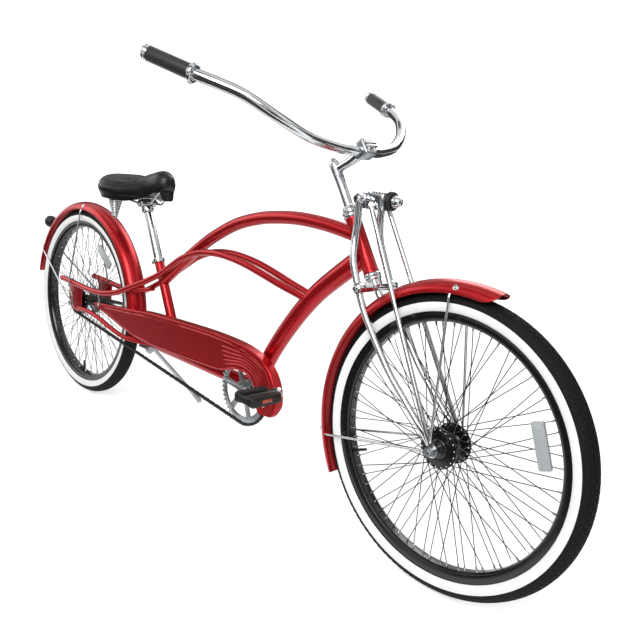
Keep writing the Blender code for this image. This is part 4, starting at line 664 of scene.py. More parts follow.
frameSize = {
    "headTop": (1.2475, 0.0, 0.78),
    "headAngle": 57.8,
    "headLength": 0.14,
    "headRadius": 0.018,
    "topRadius": 0.017,
    "downRadius": (0.02, 0.025, 0.0215),        # at the head, below it and at the bracket
    "twinRadius": 0.0095,
    "seatTop": (0.447, 0.0, 0.56),
    "seatTubeRadius": 0.015,
    "seatTubeLength": 0.302,
    "lowerRadius": 0.019,
    "stayRadius": 0.008,
    "bracket": (0.957, 0.0, 0.28),
    "bracketRadius": 0.0285,
    "bracketHalf": 0.034,
}
headAngle = radians(frameSize["headAngle"])
steerUp = Vector((-cos(headAngle), 0.0, sin(headAngle)))
steerAhead = Vector((sin(headAngle), 0.0, cos(headAngle)))
seatUp = Vector((-1.0, 0.0, 2.0)).normalized()
headTop, seatTop, crankPoint = (Vector(frameSize[key]) for key in ("headTop", "seatTop", "bracket"))

fender = {
    "crown": 0.3585,
    "edge": 0.3325,
    "half": 0.034,
    "sheet": 0.0012,
    "bead": 0.0018,
    "rearArc": (-9.0, 171.0),
    "frontArc": (76.0, 210.0),
    "roundDegrees": 6.5,        # length of each rounded end
}
stay = {
    "radius": 0.0029,
    "rear": [(91.0, [(0.05, 0.07), (0.072, 0.075)]), (154.0, [(0.05, 0.0645)])],
    "front": [(93.5, []), (193.5, [])],
    "rearEye": 0.0613,
    "frontEye": 0.0598,
    "screwRadius": 0.0046,
    "screwTurn": 2.0,
}


def steer(height, reach=0.0):
    # A point of the steering: up its axis from the head tube's top, and ahead of it
    return headTop + steerUp * height + steerAhead * reach


def fenderStub(start, radius, finish):
    out = (Vector(start) - rearHub).normalized()
    return bar(start, rearHub + out * (fender["crown"] - 0.0006), radius, finish, endRadius=radius * 1.5)


def fenderAt(hub, degrees, t, inward=0.0):
    # A point on the fender's skin: t from -90 to 90 across it
    cross = radians(t)
    radius = fender["edge"] + (fender["crown"] - fender["edge"] - inward) * cos(cross)
    return polar(hub, degrees, radius, (fender["half"] - inward) * sin(cross))


def fenderShape(hub, arc, finish):
    (start, end), rounding, bead = arc, fender["roundDegrees"], fender["bead"]
    ends = [rounding * (i / 12.0) ** 1.6 for i in range(12)]
    middle = [start + rounding + (end - start - 2 * rounding) * i / 72 for i in range(73)]
    shape = bmesh.new()
    rows = []
    for degrees in [start + d for d in ends] + middle + [end - d for d in reversed(ends)]:
        near = min(degrees - start, end - degrees) / rounding
        span = 90.0 * (0.34 + 0.66 * sqrt(max(0.0, 1.0 - (1.0 - min(near, 1.0)) ** 2)))
        skin = [fenderAt(hub, degrees, span * k / 14.0) for k in range(-14, 15)]
        inner = [fenderAt(hub, degrees, span * k / 14.0, fender["sheet"]) for k in range(13, -14, -1)]
        rolled = []
        for side in (1.0, -1.0):
            edge = fenderAt(hub, degrees, side * span)
            on = (edge - fenderAt(hub, degrees, side * (span - 2.0))).normalized()
            inwards = (fenderAt(hub, degrees, side * span, 0.001) - edge).normalized()
            rolled.append([edge + inwards * bead + (on * sin(a) - inwards * cos(a)) * bead
                           for a in (0.7, 1.4, 2.1, 2.8, 3.5, 4.2)])
        rows.append([shape.verts.new(point) for point in skin + rolled[0] + inner + rolled[1][::-1]])
    loft(shape, rows)
    return closedMesh(shape, finish, 50.0)


def stayShapes(prefix, side):
    # Stay wires: a flattened eye on the axle, a straight run, an end hooked inside the fender's lip
    hub, eye, edge = wheelFittings[prefix]["hub"], stay[prefix + "Eye"], fender["edge"]
    shapes = [turned(band(axleBore, 0.01, -0.001, 0.001), onAxle(hub + left * side * eye), zinc, 40)]
    hidden = fender["half"] - fender["bead"] - stay["radius"] - 0.0004
    top = (edge - 0.01, fender["half"] + 0.0004)
    for degrees, bends in stay[prefix]:
        route = [(0.0225, eye), (0.027, eye + 0.0008)] + bends
        bend = route[-1]
        route += [tuple(a + (b - a) * share for a, b in zip(bend, top)) for share in (0.25, 0.5, 0.75, 0.95)]
        route += [top, (edge - 0.005, fender["half"] - 0.0016), (edge + 0.004, hidden)]
        near, far = (polar(hub, degrees, radius, side * eye) for radius in (0.0085, 0.0235))
        across = (far - near).normalized().cross(left)
        flat = bmesh.new()
        for y in (-0.0009, 0.0009):
            for end, half in ((near, 0.0052), (far, 0.0026)):
                for way in (-1, 1):
                    flat.verts.new(end + across * half * way + left * y)
        bmesh.ops.convex_hull(flat, input=flat.verts)
        turn = degrees - stay["screwTurn"]
        tab = fenderAt(hub, turn, side * 62.0)
        out = (tab - fenderAt(hub, turn, side * 62.0, 0.001)).normalized()
        wire = [polar(hub, degrees, radius, side * y) for radius, y in route]
        shapes += [tube(wire, stay["radius"], chrome, 16, 5), closedMesh(flat, zinc),
                   washer(tab, out, 0.0, 0.0066, -0.0002, 0.0012, chrome, 28, 0.0003),
                   screw(tab + out * 0.0012, out, stay["screwRadius"])]
    return shapes


def bridge(point, half):
    # A crossbar between the stays, with the stub that holds the fender
    return [rod(Vector(point), left, -half, half, 0.006, enamel, 20), fenderStub(point, 0.004, enamel)]


def makeFrame():
    size = frameSize
    length, radius = size["headLength"], size["headRadius"]
    head = [(0.015, 0.0), (radius + 0.0006, 0.0), (radius + 0.0006, 0.005), (radius, 0.0065)]
    head += [(r, length - h) for r, h in reversed(head)]
    keepPiece("headTube", "frame", "red_enamel", "head_tube", turned(head, facing(steer(-length), steerUp), enamel))
    top = [(1.27, 0.7415), (1.21, 0.75), (1.148, 0.756), (1.07, 0.758), (0.99, 0.752), (0.915, 0.74),
           (0.823, 0.713), (0.723, 0.664), (0.64, 0.611), (0.56, 0.553), (0.485, 0.495)]
    keepPiece("topTube", "frame", "red_enamel", "top_tube", tube(top, size["topRadius"], enamel, 40, 10))
    first, wide, last = size["downRadius"]
    down = [(1.292, 0.696), (1.262, 0.672), (1.214, 0.634), (1.159, 0.587), (1.115, 0.54), (1.075, 0.49),
            (1.031, 0.428), (0.994, 0.365), (0.964, 0.296)]
    keepPiece("downTube", "frame", "red_enamel", "down_tube",
              tube(down, lambda t: first + (wide - first) * ramp(t, 0.0, 0.13) + (last - wide) * t, enamel, 48, 10))
    keepPiece("lowerTube", "frame", "red_enamel", "lower_tube",
              bar((0.955, 0, 0.283), (0.432, 0, 0.284), size["lowerRadius"], enamel, 48, 0.002))
    twin = [(-0.09, 0.062, 0.409), (-0.015, 0.062, 0.4075), (0.06, 0.062, 0.4045), (0.135, 0.062, 0.403),
            (0.21, 0.0605, 0.407), (0.29, 0.054, 0.424), (0.375, 0.044, 0.46), (0.44, 0.0345, 0.489),
            (0.5, 0.0268, 0.52), (0.56, 0.0268, 0.556), (0.615, 0.0268, 0.588), (0.69, 0.0262, 0.615),
            (0.765, 0.0255, 0.625), (0.83, 0.025, 0.624), (0.9, 0.0245, 0.616), (0.97, 0.0235, 0.602),
            (1.04, 0.021, 0.586), (1.1, 0.0175, 0.574), (1.138, 0.013, 0.564)]
    chainstay = [(0.04, 0.0585, 0.32), (0.09, 0.0585, 0.323), (0.14, 0.058, 0.3205), (0.195, 0.057, 0.312),
                 (0.25, 0.055, 0.299), (0.305, 0.0515, 0.287), (0.355, 0.044, 0.2815), (0.405, 0.031, 0.2815),
                 (0.455, 0.011, 0.283)]
    dropout = smoothPath([(-0.04, 0.405), (-0.032, 0.385), (-0.0285, 0.36), (-0.027, 0.3385)], 6)
    dropout += [(axleBore * cos(a), 0.333 + axleBore * sin(a))
                for a in [radians(90.0 - 15.0 * i) for i in range(13)]]
    dropout += smoothPath([(-0.0245, 0.3275), (-0.012, 0.318), (0.014, 0.3092), (0.05, 0.31), (0.054, 0.327),
                           (0.059, 0.348), (0.06, 0.375), (0.065, 0.402)], 5)
    for name, side in sides.items():
        # Both bridges belong to the right-hand tubes
        upper, lower = ([], []) if name == "left" else (bridge((0.357, 0.0, 0.441), 0.046),
                                                        bridge((0.388, 0.0, 0.2815), 0.036))
        keepPiece("twinTube." + name, "frame", "red_enamel", "twin_tube_" + name,
                  tube(mirrored(twin, side), lambda t: size["twinRadius"] * min(1.0, 0.55 + sqrt(t) * 6.0),
                       enamel, 28, 7), *upper)
        keepPiece("chainstay." + name, "frame", "red_enamel", "chainstay_" + name,
                  tube(mirrored(chainstay, side), size["stayRadius"], enamel),
                  plate([dropout], 0.0025, enamel, sideways(side * 0.0575), 0.0006), *lower)
    length, radius = size["seatTubeLength"], size["seatTubeRadius"]
    keepPiece("seatTube", "frame", "red_enamel", "seat_tube",
              washer(seatTop - seatUp * length, seatUp, radius - 0.0014, radius, 0.0, length, enamel))
    ear = seatTop - seatUp * 0.007 + Vector((-seatUp.z, 0.0, seatUp.x)) * 0.0195
    keepPiece("seatClamp", "frame", "chrome", "seat_clamp",
              washer(seatTop - seatUp * 0.014, seatUp, 0.0153, 0.0185, 0.0, 0.014, chrome, 48, 0.001),
              rod(ear, -left, 0.0015, 0.0075, 0.0062, chrome, 28, 0.0012),
              rod(ear, left, 0.0015, 0.0075, 0.0062, chrome, 28, 0.0012),
              rod(ear, left, -0.0135, 0.0135, 0.0028, nickel, 16),
              rod(ear, left, -0.0125, -0.0078, 0.005, nickel, 24, 0.001),
              hexNut(ear, left, 0.0078, 0.0125, 0.0052, nickel))
    radius, half = size["bracketRadius"], size["bracketHalf"]
    shell = [turned(band(radius - 0.003, radius, -half, half), onAxle(crankPoint), enamel, 72, 0.0008)]
    cup = [(0.0125, -0.002), (0.0275, -0.002), (0.0275, 0.0), (0.03, 0.0), (0.03, 0.0022), (0.0215, 0.0034),
           (0.0125, 0.0034)]
    lock = [(0.012, 0.003), (0.019, 0.003), (0.0178, 0.004), (0.012, 0.004)]
    for side in sides.values():
        for profile, finish, steps, soften in ((cup, chrome, 64, 0.0006), (lock, zinc, 48, 0.0003)):
            profile = [(r, side * (half + h)) for r, h in profile]
            shell.append(turned(profile, onAxle(crankPoint), finish, steps, soften))
    keepPiece("bracketShell", "frame", "red_enamel", "bottom_bracket_shell", *shell)


def makeFenders():
    keepPiece("rearFender", "frame", "red_enamel", "rear_fender", fenderShape(rearHub, fender["rearArc"], enamel))
    toPivot = forkPivot - frontHub
    degrees = math.degrees(atan2(toPivot.z, toPivot.x))
    keepPiece("frontFender", "fork", "red_enamel", "front_fender",
              fenderShape(frontHub, fender["frontArc"], enamel),
              bar(polar(frontHub, degrees, fender["crown"] - 0.0008),
                  polar(frontHub, degrees, toPivot.length - 0.0113), 0.009, chrome, 32, 0.0015, 0.008))
    for name, side in sides.items():
        for prefix, body in (("rear", "frame"), ("front", "fork")):
            keepPiece(prefix + "Stay." + name, body, "zinc_steel", prefix + "_stay_" + name,
                      *stayShapes(prefix, side))
    lamp = Vector((-0.288, 0.0, 0.586))
    housing = [(0.0, 0.0), (0.012, 0.0), (0.0165, 0.003), (0.022, 0.012), (0.0225, 0.015), (0.0225, 0.027),
               (0.0205, 0.028), (0.019, 0.0275), (0.019, 0.0225), (0.0, 0.0225)]
    lens = [(0.0, 0.0), (0.0187, 0.0), (0.0187, 0.003), (0.015, 0.0046), (0.008, 0.0056), (0.0, 0.006)]
    keepPiece("tailReflector", "frame", "black_plastic", "tail_reflector",
              turned(housing, facing(lamp, -ahead), plastic, 56, 0.0006),
              turned(lens, facing(lamp - ahead * 0.0222, -ahead), redLens, 56, 0.0002),
              fenderStub(lamp - ahead * 0.004, 0.005, plastic))


# Steering

steering = {
    "barRadius": 0.0125,
    "barMiddle": (1.259, 0.0, 0.933),
    "gripStart": (1.052, 0.322, 1.055),
    "gripEnd": (0.935, 0.373, 1.096),
    "gripRadius": 0.0165,
    "collarRadius": 0.021,
    "collarLength": 0.012,
    "capLength": 0.013,
    "pivot": (1.338, 0.0, 0.6345),
    "springHeight": 0.829,
    "springBack": 1.2965,
    "springFront": 1.347,
    "coilTurns": 5.5,
}
barMiddle, forkPivot = Vector(steering["barMiddle"]), Vector(steering["pivot"])

makeFrame()
makeFenders()
print("frame and fenders made")


def makeHeadset():
    low, radius = -frameSize["headLength"], frameSize["headRadius"]
    cup = [(radius + 0.0005, 0.0002), (0.02, 0.003), (0.0204, 0.005), (0.02, 0.0078), (0.0178, 0.01),
           (0.0131, 0.01), (0.0131, 0.0002)]
    for name, height, way in (("top", 0.0, steerUp), ("bottom", low, -steerUp)):
        keepPiece("headsetCup." + name, "frame", "chrome", "headset_" + name + "_cup",
                  turned(cup, facing(steer(height), way), chrome))
    section = [(0.0, low - 0.0365), (0.012, low - 0.036), (0.0165, low - 0.032), (0.0165, low - 0.0175),
               (0.019, low - 0.0155), (0.019, low - 0.0103), (0.0127, low - 0.0103), (0.0127, 0.02), (0.0, 0.02)]
    dome = [(0.0, 0.0), (0.0074, 0.0), (0.0068, 0.0013), (0.0048, 0.0022), (0.0, 0.0026)]
    shapes = [turned(section, facing(headTop, steerUp), chrome, 56, 0.0008),
              rod(forkPivot, left, -0.0472, 0.0472, 0.011, chrome, 40, 0.001),
              rod(forkPivot, left, -0.07, 0.07, 0.005, zinc, 24)]
    for out in (-left, left):
        shapes += [hexNut(forkPivot, out, 0.0668, 0.0712, 0.0095, chrome, 8.0),
                   turned(dome, facing(forkPivot + out * 0.0712, out), chrome, 32, 0.0002)]
    keepPiece("forkCrown", "steering", "chrome", "fork_crown", *shapes)
    # The bracket's ring on the steerer, its neck, the bored boss for the spring bolt and its flange
    collar = [(0.0131, 0.0103), (0.019, 0.0103), (0.021, 0.013), (0.021, 0.0158), (0.0131, 0.0158)]
    neck = [steer(height, reach) for reach, height in (
        (0.015, 0.0106), (0.029, 0.0106), (0.04, 0.015), (0.056, 0.02), (0.054, 0.027), (0.047, 0.029),
        (0.033, 0.0235), (0.0205, 0.0157), (0.015, 0.0157))]
    socket = [(0.0, -0.033), (0.01, -0.033), (0.01, -0.002), (0.0066, -0.002), (0.0066, -0.02), (0.0, -0.02)]
    flange = [(0.0066, -0.0042), (0.016, -0.0042), (0.017, -0.003), (0.017, 0.0), (0.0066, 0.0)]
    seat = facing((steering["springBack"] - 0.0003, 0.0, steering["springHeight"]), ahead)
    keepPiece("springBracket", "steering", "chrome", "spring_bracket",
              turned(collar, facing(headTop, steerUp), chrome, 56),
              plate([[(p.x, p.z) for p in neck]], 0.006, chrome, sideways(0.0), 0.0012),
              turned(socket, seat, chrome, 48, 0.0008), turned(flange, seat, chrome, 48))
    ring = [(0.0131, 0.0163), (0.0188, 0.0163), (0.019, 0.017), (0.019, 0.019), (0.018, 0.0196), (0.0131, 0.0196)]
    keepPiece("headsetLocknut", "steering", "chrome", "headset_locknut",
              turned(ring, facing(headTop, steerUp), chrome, 56, 0.0003),
              hexNut(headTop, steerUp, 0.0192, 0.0285, 0.019, chrome, 15.0))


def makeStem():
    quill = [(0.0, -0.06), (0.0111, -0.06), (0.0111, 0.07), (0.0118, 0.095), (0.0135, 0.128), (0.0138, 0.14),
             (0.012, 0.1462), (0.0085, 0.1485), (0.0, 0.149)]
    neck = [steer(0.112), steer(0.1225, 0.008), steer(0.118).lerp(barMiddle, 0.55), barMiddle]
    fore = (barMiddle - steer(0.118)).normalized()
    across = left.cross(fore)
    clamp = Matrix.Translation(barMiddle) @ Matrix((fore, left, -across)).transposed().to_4x4()
    shapes = [turned(quill, facing(headTop, steerUp), chrome, 48, 0.0015),
              hexNut(headTop, steerUp, 0.148, 0.154, 0.0062, nickel, 10.0),
              tube(neck, lambda t: 0.0128 - 0.0026 * sin(pi * min(t * 1.1, 1.0)), chrome, 32, 10),
              washer(barMiddle, left, 0.0127, 0.0195, -0.019, 0.019, chrome, 64, 0.0022),
              # The clamp's split ears under the bar, its block, and its bolts and screws
              block((0.015, -0.0175, -0.0071), (0.03, 0.0175, -0.0011), chrome, 0.0022, 4, clamp),
              block((0.015, -0.0175, 0.0011), (0.03, 0.0175, 0.0071), chrome, 0.0022, 4, clamp),
              block((-0.008, -0.0195, -0.02), (0.0222, 0.0195, 0.02), zinc, 0.005, 5, clamp)]
    for y in (-0.009, 0.009):
        spot = barMiddle + fore * 0.0235 + left * y
        shapes += [rod(spot, across, 0.0105, -0.0105, 0.0028, nickel, 16),
                   hexNut(spot, -across, 0.0071, 0.0118, 0.0056, nickel, 20.0)]
        for way in (-1.0, 1.0):
            shapes.append(screw(barMiddle + fore * 0.0221 + left * y * 1.2 + across * way * 0.013, fore, 0.0038))
    keepPiece("stem", "steering", "chrome", "stem", *shapes)


def makeHandlebar():
    start, end = Vector(steering["gripStart"]), Vector(steering["gripEnd"])
    along = (end - start).normalized()
    half = [Vector(point) for point in (
        (1.256, 0.035, 0.933), (1.248, 0.073, 0.935), (1.229, 0.143, 0.95), (1.196, 0.206, 0.982),
        (1.149, 0.256, 1.018), (1.098, 0.295, 1.04), start, start + along * 0.06, start + along * 0.12)]
    keepPiece("handlebar", "steering", "chrome", "handlebar",
              tube(mirrored(half, -1.0)[::-1] + [barMiddle] + half, steering["barRadius"], chrome, 40, 10))
    length, near = (end - start).length, steering["collarLength"]
    grip, collar, cap = steering["gripRadius"], steering["collarRadius"], length - steering["capLength"]
    ring = [(0.0127, 0.0), (collar - 0.0025, 0.0), (collar - 0.0008, 0.0012), (collar, 0.003),
            (collar, near - 0.004), (collar - 0.0018, near - 0.0032), (collar - 0.0018, near), (0.0127, near)]
    sleeve = [(0.0, near + 0.0003), (0.0127, near + 0.0003), (grip - 0.0006, near + 0.0003), (grip, near + 0.0015),
              (grip, cap - 0.0012), (grip - 0.0008, cap), (0.0, cap)]
    plug = [(0.0, cap), (grip + 0.0001, cap), (grip + 0.0001, cap + 0.0035), (grip - 0.0011, cap + 0.0043),
            (grip - 0.0011, cap + 0.0055), (grip + 0.0001, cap + 0.0063), (grip + 0.0001, length - 0.0022),
            (grip - 0.0014, length - 0.0004), (0.0105, length), (0.0095, length - 0.0012), (0.0, length - 0.0012)]
    for name, side in sides.items():
        begin, finish = mirrored([start, end], side)
        place = facing(begin, finish - begin)
        shapes = [turned(ring, place, chrome, 56)]
        for quarter in range(4):
            lug = place @ Matrix.Rotation(radians(90.0 * quarter + 25.0), 4, "Z")
            shapes += [block((collar - 0.004, -0.0046, 0.0022), (collar + 0.0008, 0.0046, near - 0.0024), chrome,
                             0.001, 2, lug),
                       bar(lug @ Vector((collar, 0, near * 0.46)), lug @ Vector((collar + 0.0014, 0, near * 0.46)),
                           0.0022, nickel, 12)]
        keepPiece("gripCollar." + name, "steering", "chrome", "grip_collar_" + name, *shapes)
        keepPiece("grip." + name, "steering", "grip_rubber", "grip_" + name,
                  turned(sleeve, place, gripBlack, 56, 0.0004), turned(plug, place, chrome, 56, 0.0004))


# Springer fork

def coilPath(turns, perTurn, pointAt):
    # A winding's points, each from its share of the way and its turn's cosine and sine
    steps = int(turns * perTurn)
    path = []
    for i in range(steps + 1):
        angle = 2 * pi * turns * i / steps
        path.append(pointAt(i / steps, cos(angle), sin(angle)))
    return path


def makeFork():
    height, back, front = steering["springHeight"], steering["springBack"], steering["springFront"]
    path = [(1.297, 0.04, 0.829), (1.2975, 0.04, 0.8), (1.298, 0.04, 0.77), (1.3, 0.045, 0.732),
            (1.31, 0.054, 0.693), (1.329, 0.057, 0.648), (1.355, 0.057, 0.593), (1.397, 0.056, 0.531),
            (1.446, 0.0545, 0.467), (1.497, 0.053, 0.416), (1.538, 0.0525, 0.377), (1.579, 0.0525, 0.333)]
    for name, side in sides.items():
        out = left * side
        blade = tube(mirrored(path, side), lambda t: 0.0092 - 0.0024 * t, chrome, 32, 9)
        eye = frontHub + out * 0.0525
        flattenEnd(blade, eye, 0.0021, 0.0068, (0.026, 0.06))
        top = Vector((1.297, side * 0.04, height))
        keepPiece("forkBlade." + name, "fork", "chrome", "fork_blade_" + name, blade,
                  washer(eye, left, axleBore, 0.015, -0.0023, 0.0023, chrome, 48, 0.0007),
                  rod(top, out, -0.0089, 0.0089, 0.0118, chrome, 44, 0.0016),
                  hexNut(top, out, 0.0089, 0.0134, 0.0075, chrome, 12.0),
                  washer(forkPivot + out * 0.0475, out, axleBore, 0.0125, 0.0, 0.019, chrome, 48, 0.0012))
        low = frontHub + out * 0.057
        start = Vector((1.32, side * 0.0288, 0.822))
        truss = tube([start, start.lerp(low, 0.3), start.lerp(low, 0.7), low + Vector((-0.0035, 0, 0.009))], 0.0055,
                     chrome, 28, 12)
        flattenEnd(truss, low, 0.0011, 0.0055, (0.018, 0.042))
        keepPiece("trussRod." + name, "fork", "chrome", "truss_rod_" + name, truss,
                  washer(low, left, axleBore, 0.013, -0.0013, 0.0013, chrome, 44, 0.0004),
                  hexNut(start, (low - start).normalized(), 0.004, 0.011, 0.0082, chrome, 10.0))
    # The yoke: a strap bent round the spring's front, with a floor and a boss for each blade
    nose, outside, corner = front + 0.003, 0.0225, 0.0065

    def strapHalf(side, radius):
        turns = [radians(-90.0 + 15.0 * i) for i in range(7)]
        return bothWays([(1.286, -side)] + [(nose - corner + radius * cos(a),
                                             -outside + corner + radius * sin(a)) for a in turns])

    low, high = 0.8073, 0.842
    shapes = [plate([strapHalf(outside, corner) + strapHalf(outside - 0.003, corner - 0.003)[::-1]],
                    (high - low) / 2, chrome, Matrix.Translation((0, 0, (high + low) / 2)), 0.0007),
              block((1.287, -0.0205, low), (nose - 0.001, 0.0205, low + 0.003), chrome, 0.0007)]
    for out in (-left, left):
        shapes.append(rod(Vector((1.297, 0, height)), out, 0.0205, 0.0305, 0.01, chrome, 36, 0.0012))
    keepPiece("springYoke", "fork", "chrome", "spring_yoke", *shapes)
    cap = [(0.0043, 0.0003), (0.02, 0.0003), (0.0215, 0.0026), (0.0215, 0.0052), (0.0206, 0.0058),
           (0.0206, 0.0068), (0.0215, 0.0074), (0.0213, 0.0105), (0.019, 0.0128), (0.017, 0.0135), (0.0043, 0.0135)]
    bolt = [(0.0, -0.05), (0.004, -0.05), (0.004, 0.0138), (0.0135, 0.0138), (0.0135, 0.0175), (0.0128, 0.0182),
            (0.0128, 0.0225), (0.0112, 0.028), (0.008, 0.0325), (0.004, 0.0346), (0.0, 0.035)]
    tip = facing((nose, 0, height), ahead)
    keepPiece("springCap", "fork", "black_plastic", "spring_cap", turned(cap, tip, plastic))
    keepPiece("springBolt", "fork", "chrome", "spring_bolt", turned(bolt, tip, chrome, 48, 0.0008))
    begin, finish = back + 0.0027, front - 0.0027
    coil = coilPath(steering["coilTurns"], 28, lambda share, c, s: (
        begin + (finish - begin) * share, 0.016 * s, height + 0.016 * c))
    spring = keepPiece("coilSpring", "fork", "chrome", "coil_spring", tube(coil, 0.0024, chrome, 14, 0))
    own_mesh(spring)


# Seat

saddle = {
    "rear": 0.211,
    "nose": 0.497,
    "half": 0.1205,
    "noseHalf": 0.032,
    "panHeight": 0.745,
    "panNose": 0.395,
    "springX": 0.278,
    "springY": 0.06,
    "springRadius": 0.0215,
    "springTurns": 11.0,
    "springDrop": 0.059,
    "springWire": 0.0027,
    "rail": 0.0035,
    # Height of the crown's middle and of the hem at shares of the way from the rear to the nose
    "crown": [(0.0, 0.804), (0.14, 0.808), (0.3, 0.802), (0.44, 0.802), (0.58, 0.811), (0.72, 0.823),
              (0.86, 0.832), (1.0, 0.826)],
    "hem": [(0.0, 0.742), (0.15, 0.73), (0.45, 0.727), (0.6, 0.735), (0.72, 0.749), (0.85, 0.764), (1.0, 0.768)],
    "crease": 0.56,
}


def tableAt(table, share):
    # A smooth value between the table's entries
    for (u0, v0), (u1, v1) in zip(table, table[1:]):
        if share <= u1:
            t = (share - u0) / (u1 - u0)
            return v0 + (v1 - v0) * (0.5 * t + 0.5 * ramp(share, u0, u1))
    return table[-1][1]


def saddleHalf(u):
    wide = saddle["noseHalf"] + (saddle["half"] - saddle["noseHalf"]) / (1.0 + exp((u - 0.49) * 8.0))
    rear = (1.0 - max(0.0, 1.0 - u / 0.26) ** 2.9) ** (1 / 2.9)
    nose = (1.0 - max(0.0, (u - 0.86) / 0.14) ** 2.4) ** (1 / 2.2)
    return wide * rear * nose


def saddleCoverShape():
    # A lofted cover: hem, bulging side with a soft crease, dished top, raised nose, closed underneath
    length = saddle["nose"] - saddle["rear"]
    columns, rows = 84, 60
    shape = bmesh.new()
    loops = []
    for i in range(columns + 1):
        u = 0.5 - 0.5 * cos(pi * (0.010 + 0.980 * i / columns))
        half = max(saddleHalf(u), 0.0006)
        ends = ((1.0 - max(0.0, 1.0 - u / 0.13) ** 2.5) ** 0.4
                * (1.0 - max(0.0, (u - 0.87) / 0.13) ** 2.4) ** 0.42)
        middle = 0.770 + 0.028 * ramp(u, 0.70, 1.0)
        top = middle + (tableAt(saddle["crown"], u) - middle) * ends
        low = middle - (middle - tableAt(saddle["hem"], u)) * ends
        narrow = ramp(u, 0.55, 0.85)
        x = saddle["rear"] + length * u
        points = []
        for turn in [pi * k / rows for k in range(rows + 1)]:
            side, rise = cos(turn), sin(turn)
            lift = rise ** (0.66 + 0.16 * narrow)
            out = abs(side) ** (0.56 + 0.14 * narrow) * (1.0 if side > 0 else -1.0)
            tuck = 1.0 - 0.16 * (1.0 - min(rise / 0.38, 1.0)) ** 2
            fold = (exp(-((lift - saddle["crease"]) / 0.06) ** 2) * (1.0 - ramp(u, 0.50, 0.75))
                    * ramp(u, 0.02, 0.10))
            dish = 0.0075 * sin(pi * min(max((u - 0.16) / 0.60, 0.0), 1.0)) * rise ** 6
            pucker = 0.0005 * sin(u * 71.0 + 2.0 * sin(u * 23.0)) * exp(-(lift / 0.30) ** 2)
            points.append((x, (half + pucker) * out * tuck * (1.0 - 0.020 * fold),
                           low + (top - low) * lift * (1.0 - 0.025 * fold) - dish))
        under = max(low, saddle["panHeight"] + 0.0022)
        start, end = points[-1][1], points[0][1]
        for share in [k / 12.0 for k in range(1, 12)]:
            points.append((x, (start + (end - start) * share) * 0.985,
                           low + (under - low) * min(1.0, sin(pi * share) * 2.2)))
        loops.append([shape.verts.new(point) for point in points])
    loft(shape, loops)
    return closedMesh(shape, vinyl, 60.0)


def noseFlapShape():
    # The cover's tongue that hangs in front of the rails
    half = [(-0.025, 0.03), (-0.0245, 0.01), (-0.0225, -0.01), (-0.0185, -0.024), (-0.01, -0.028)]
    outline = smoothPath(half + [(-x, y) for x, y in reversed(half)], 4)
    tilt = Matrix(((0.0, -0.16, 1.0), (1.0, 0.0, 0.0), (0.0, 1.0, 0.0))).to_4x4()
    flap = plate([outline], 0.0036, vinyl, Matrix.Translation((saddle["nose"] - 0.0165, 0, 0.77)) @ tilt, 0.0016)
    for vert in flap.vertices:
        vert.co.x -= 7.0 * vert.co.y ** 2
    return flap


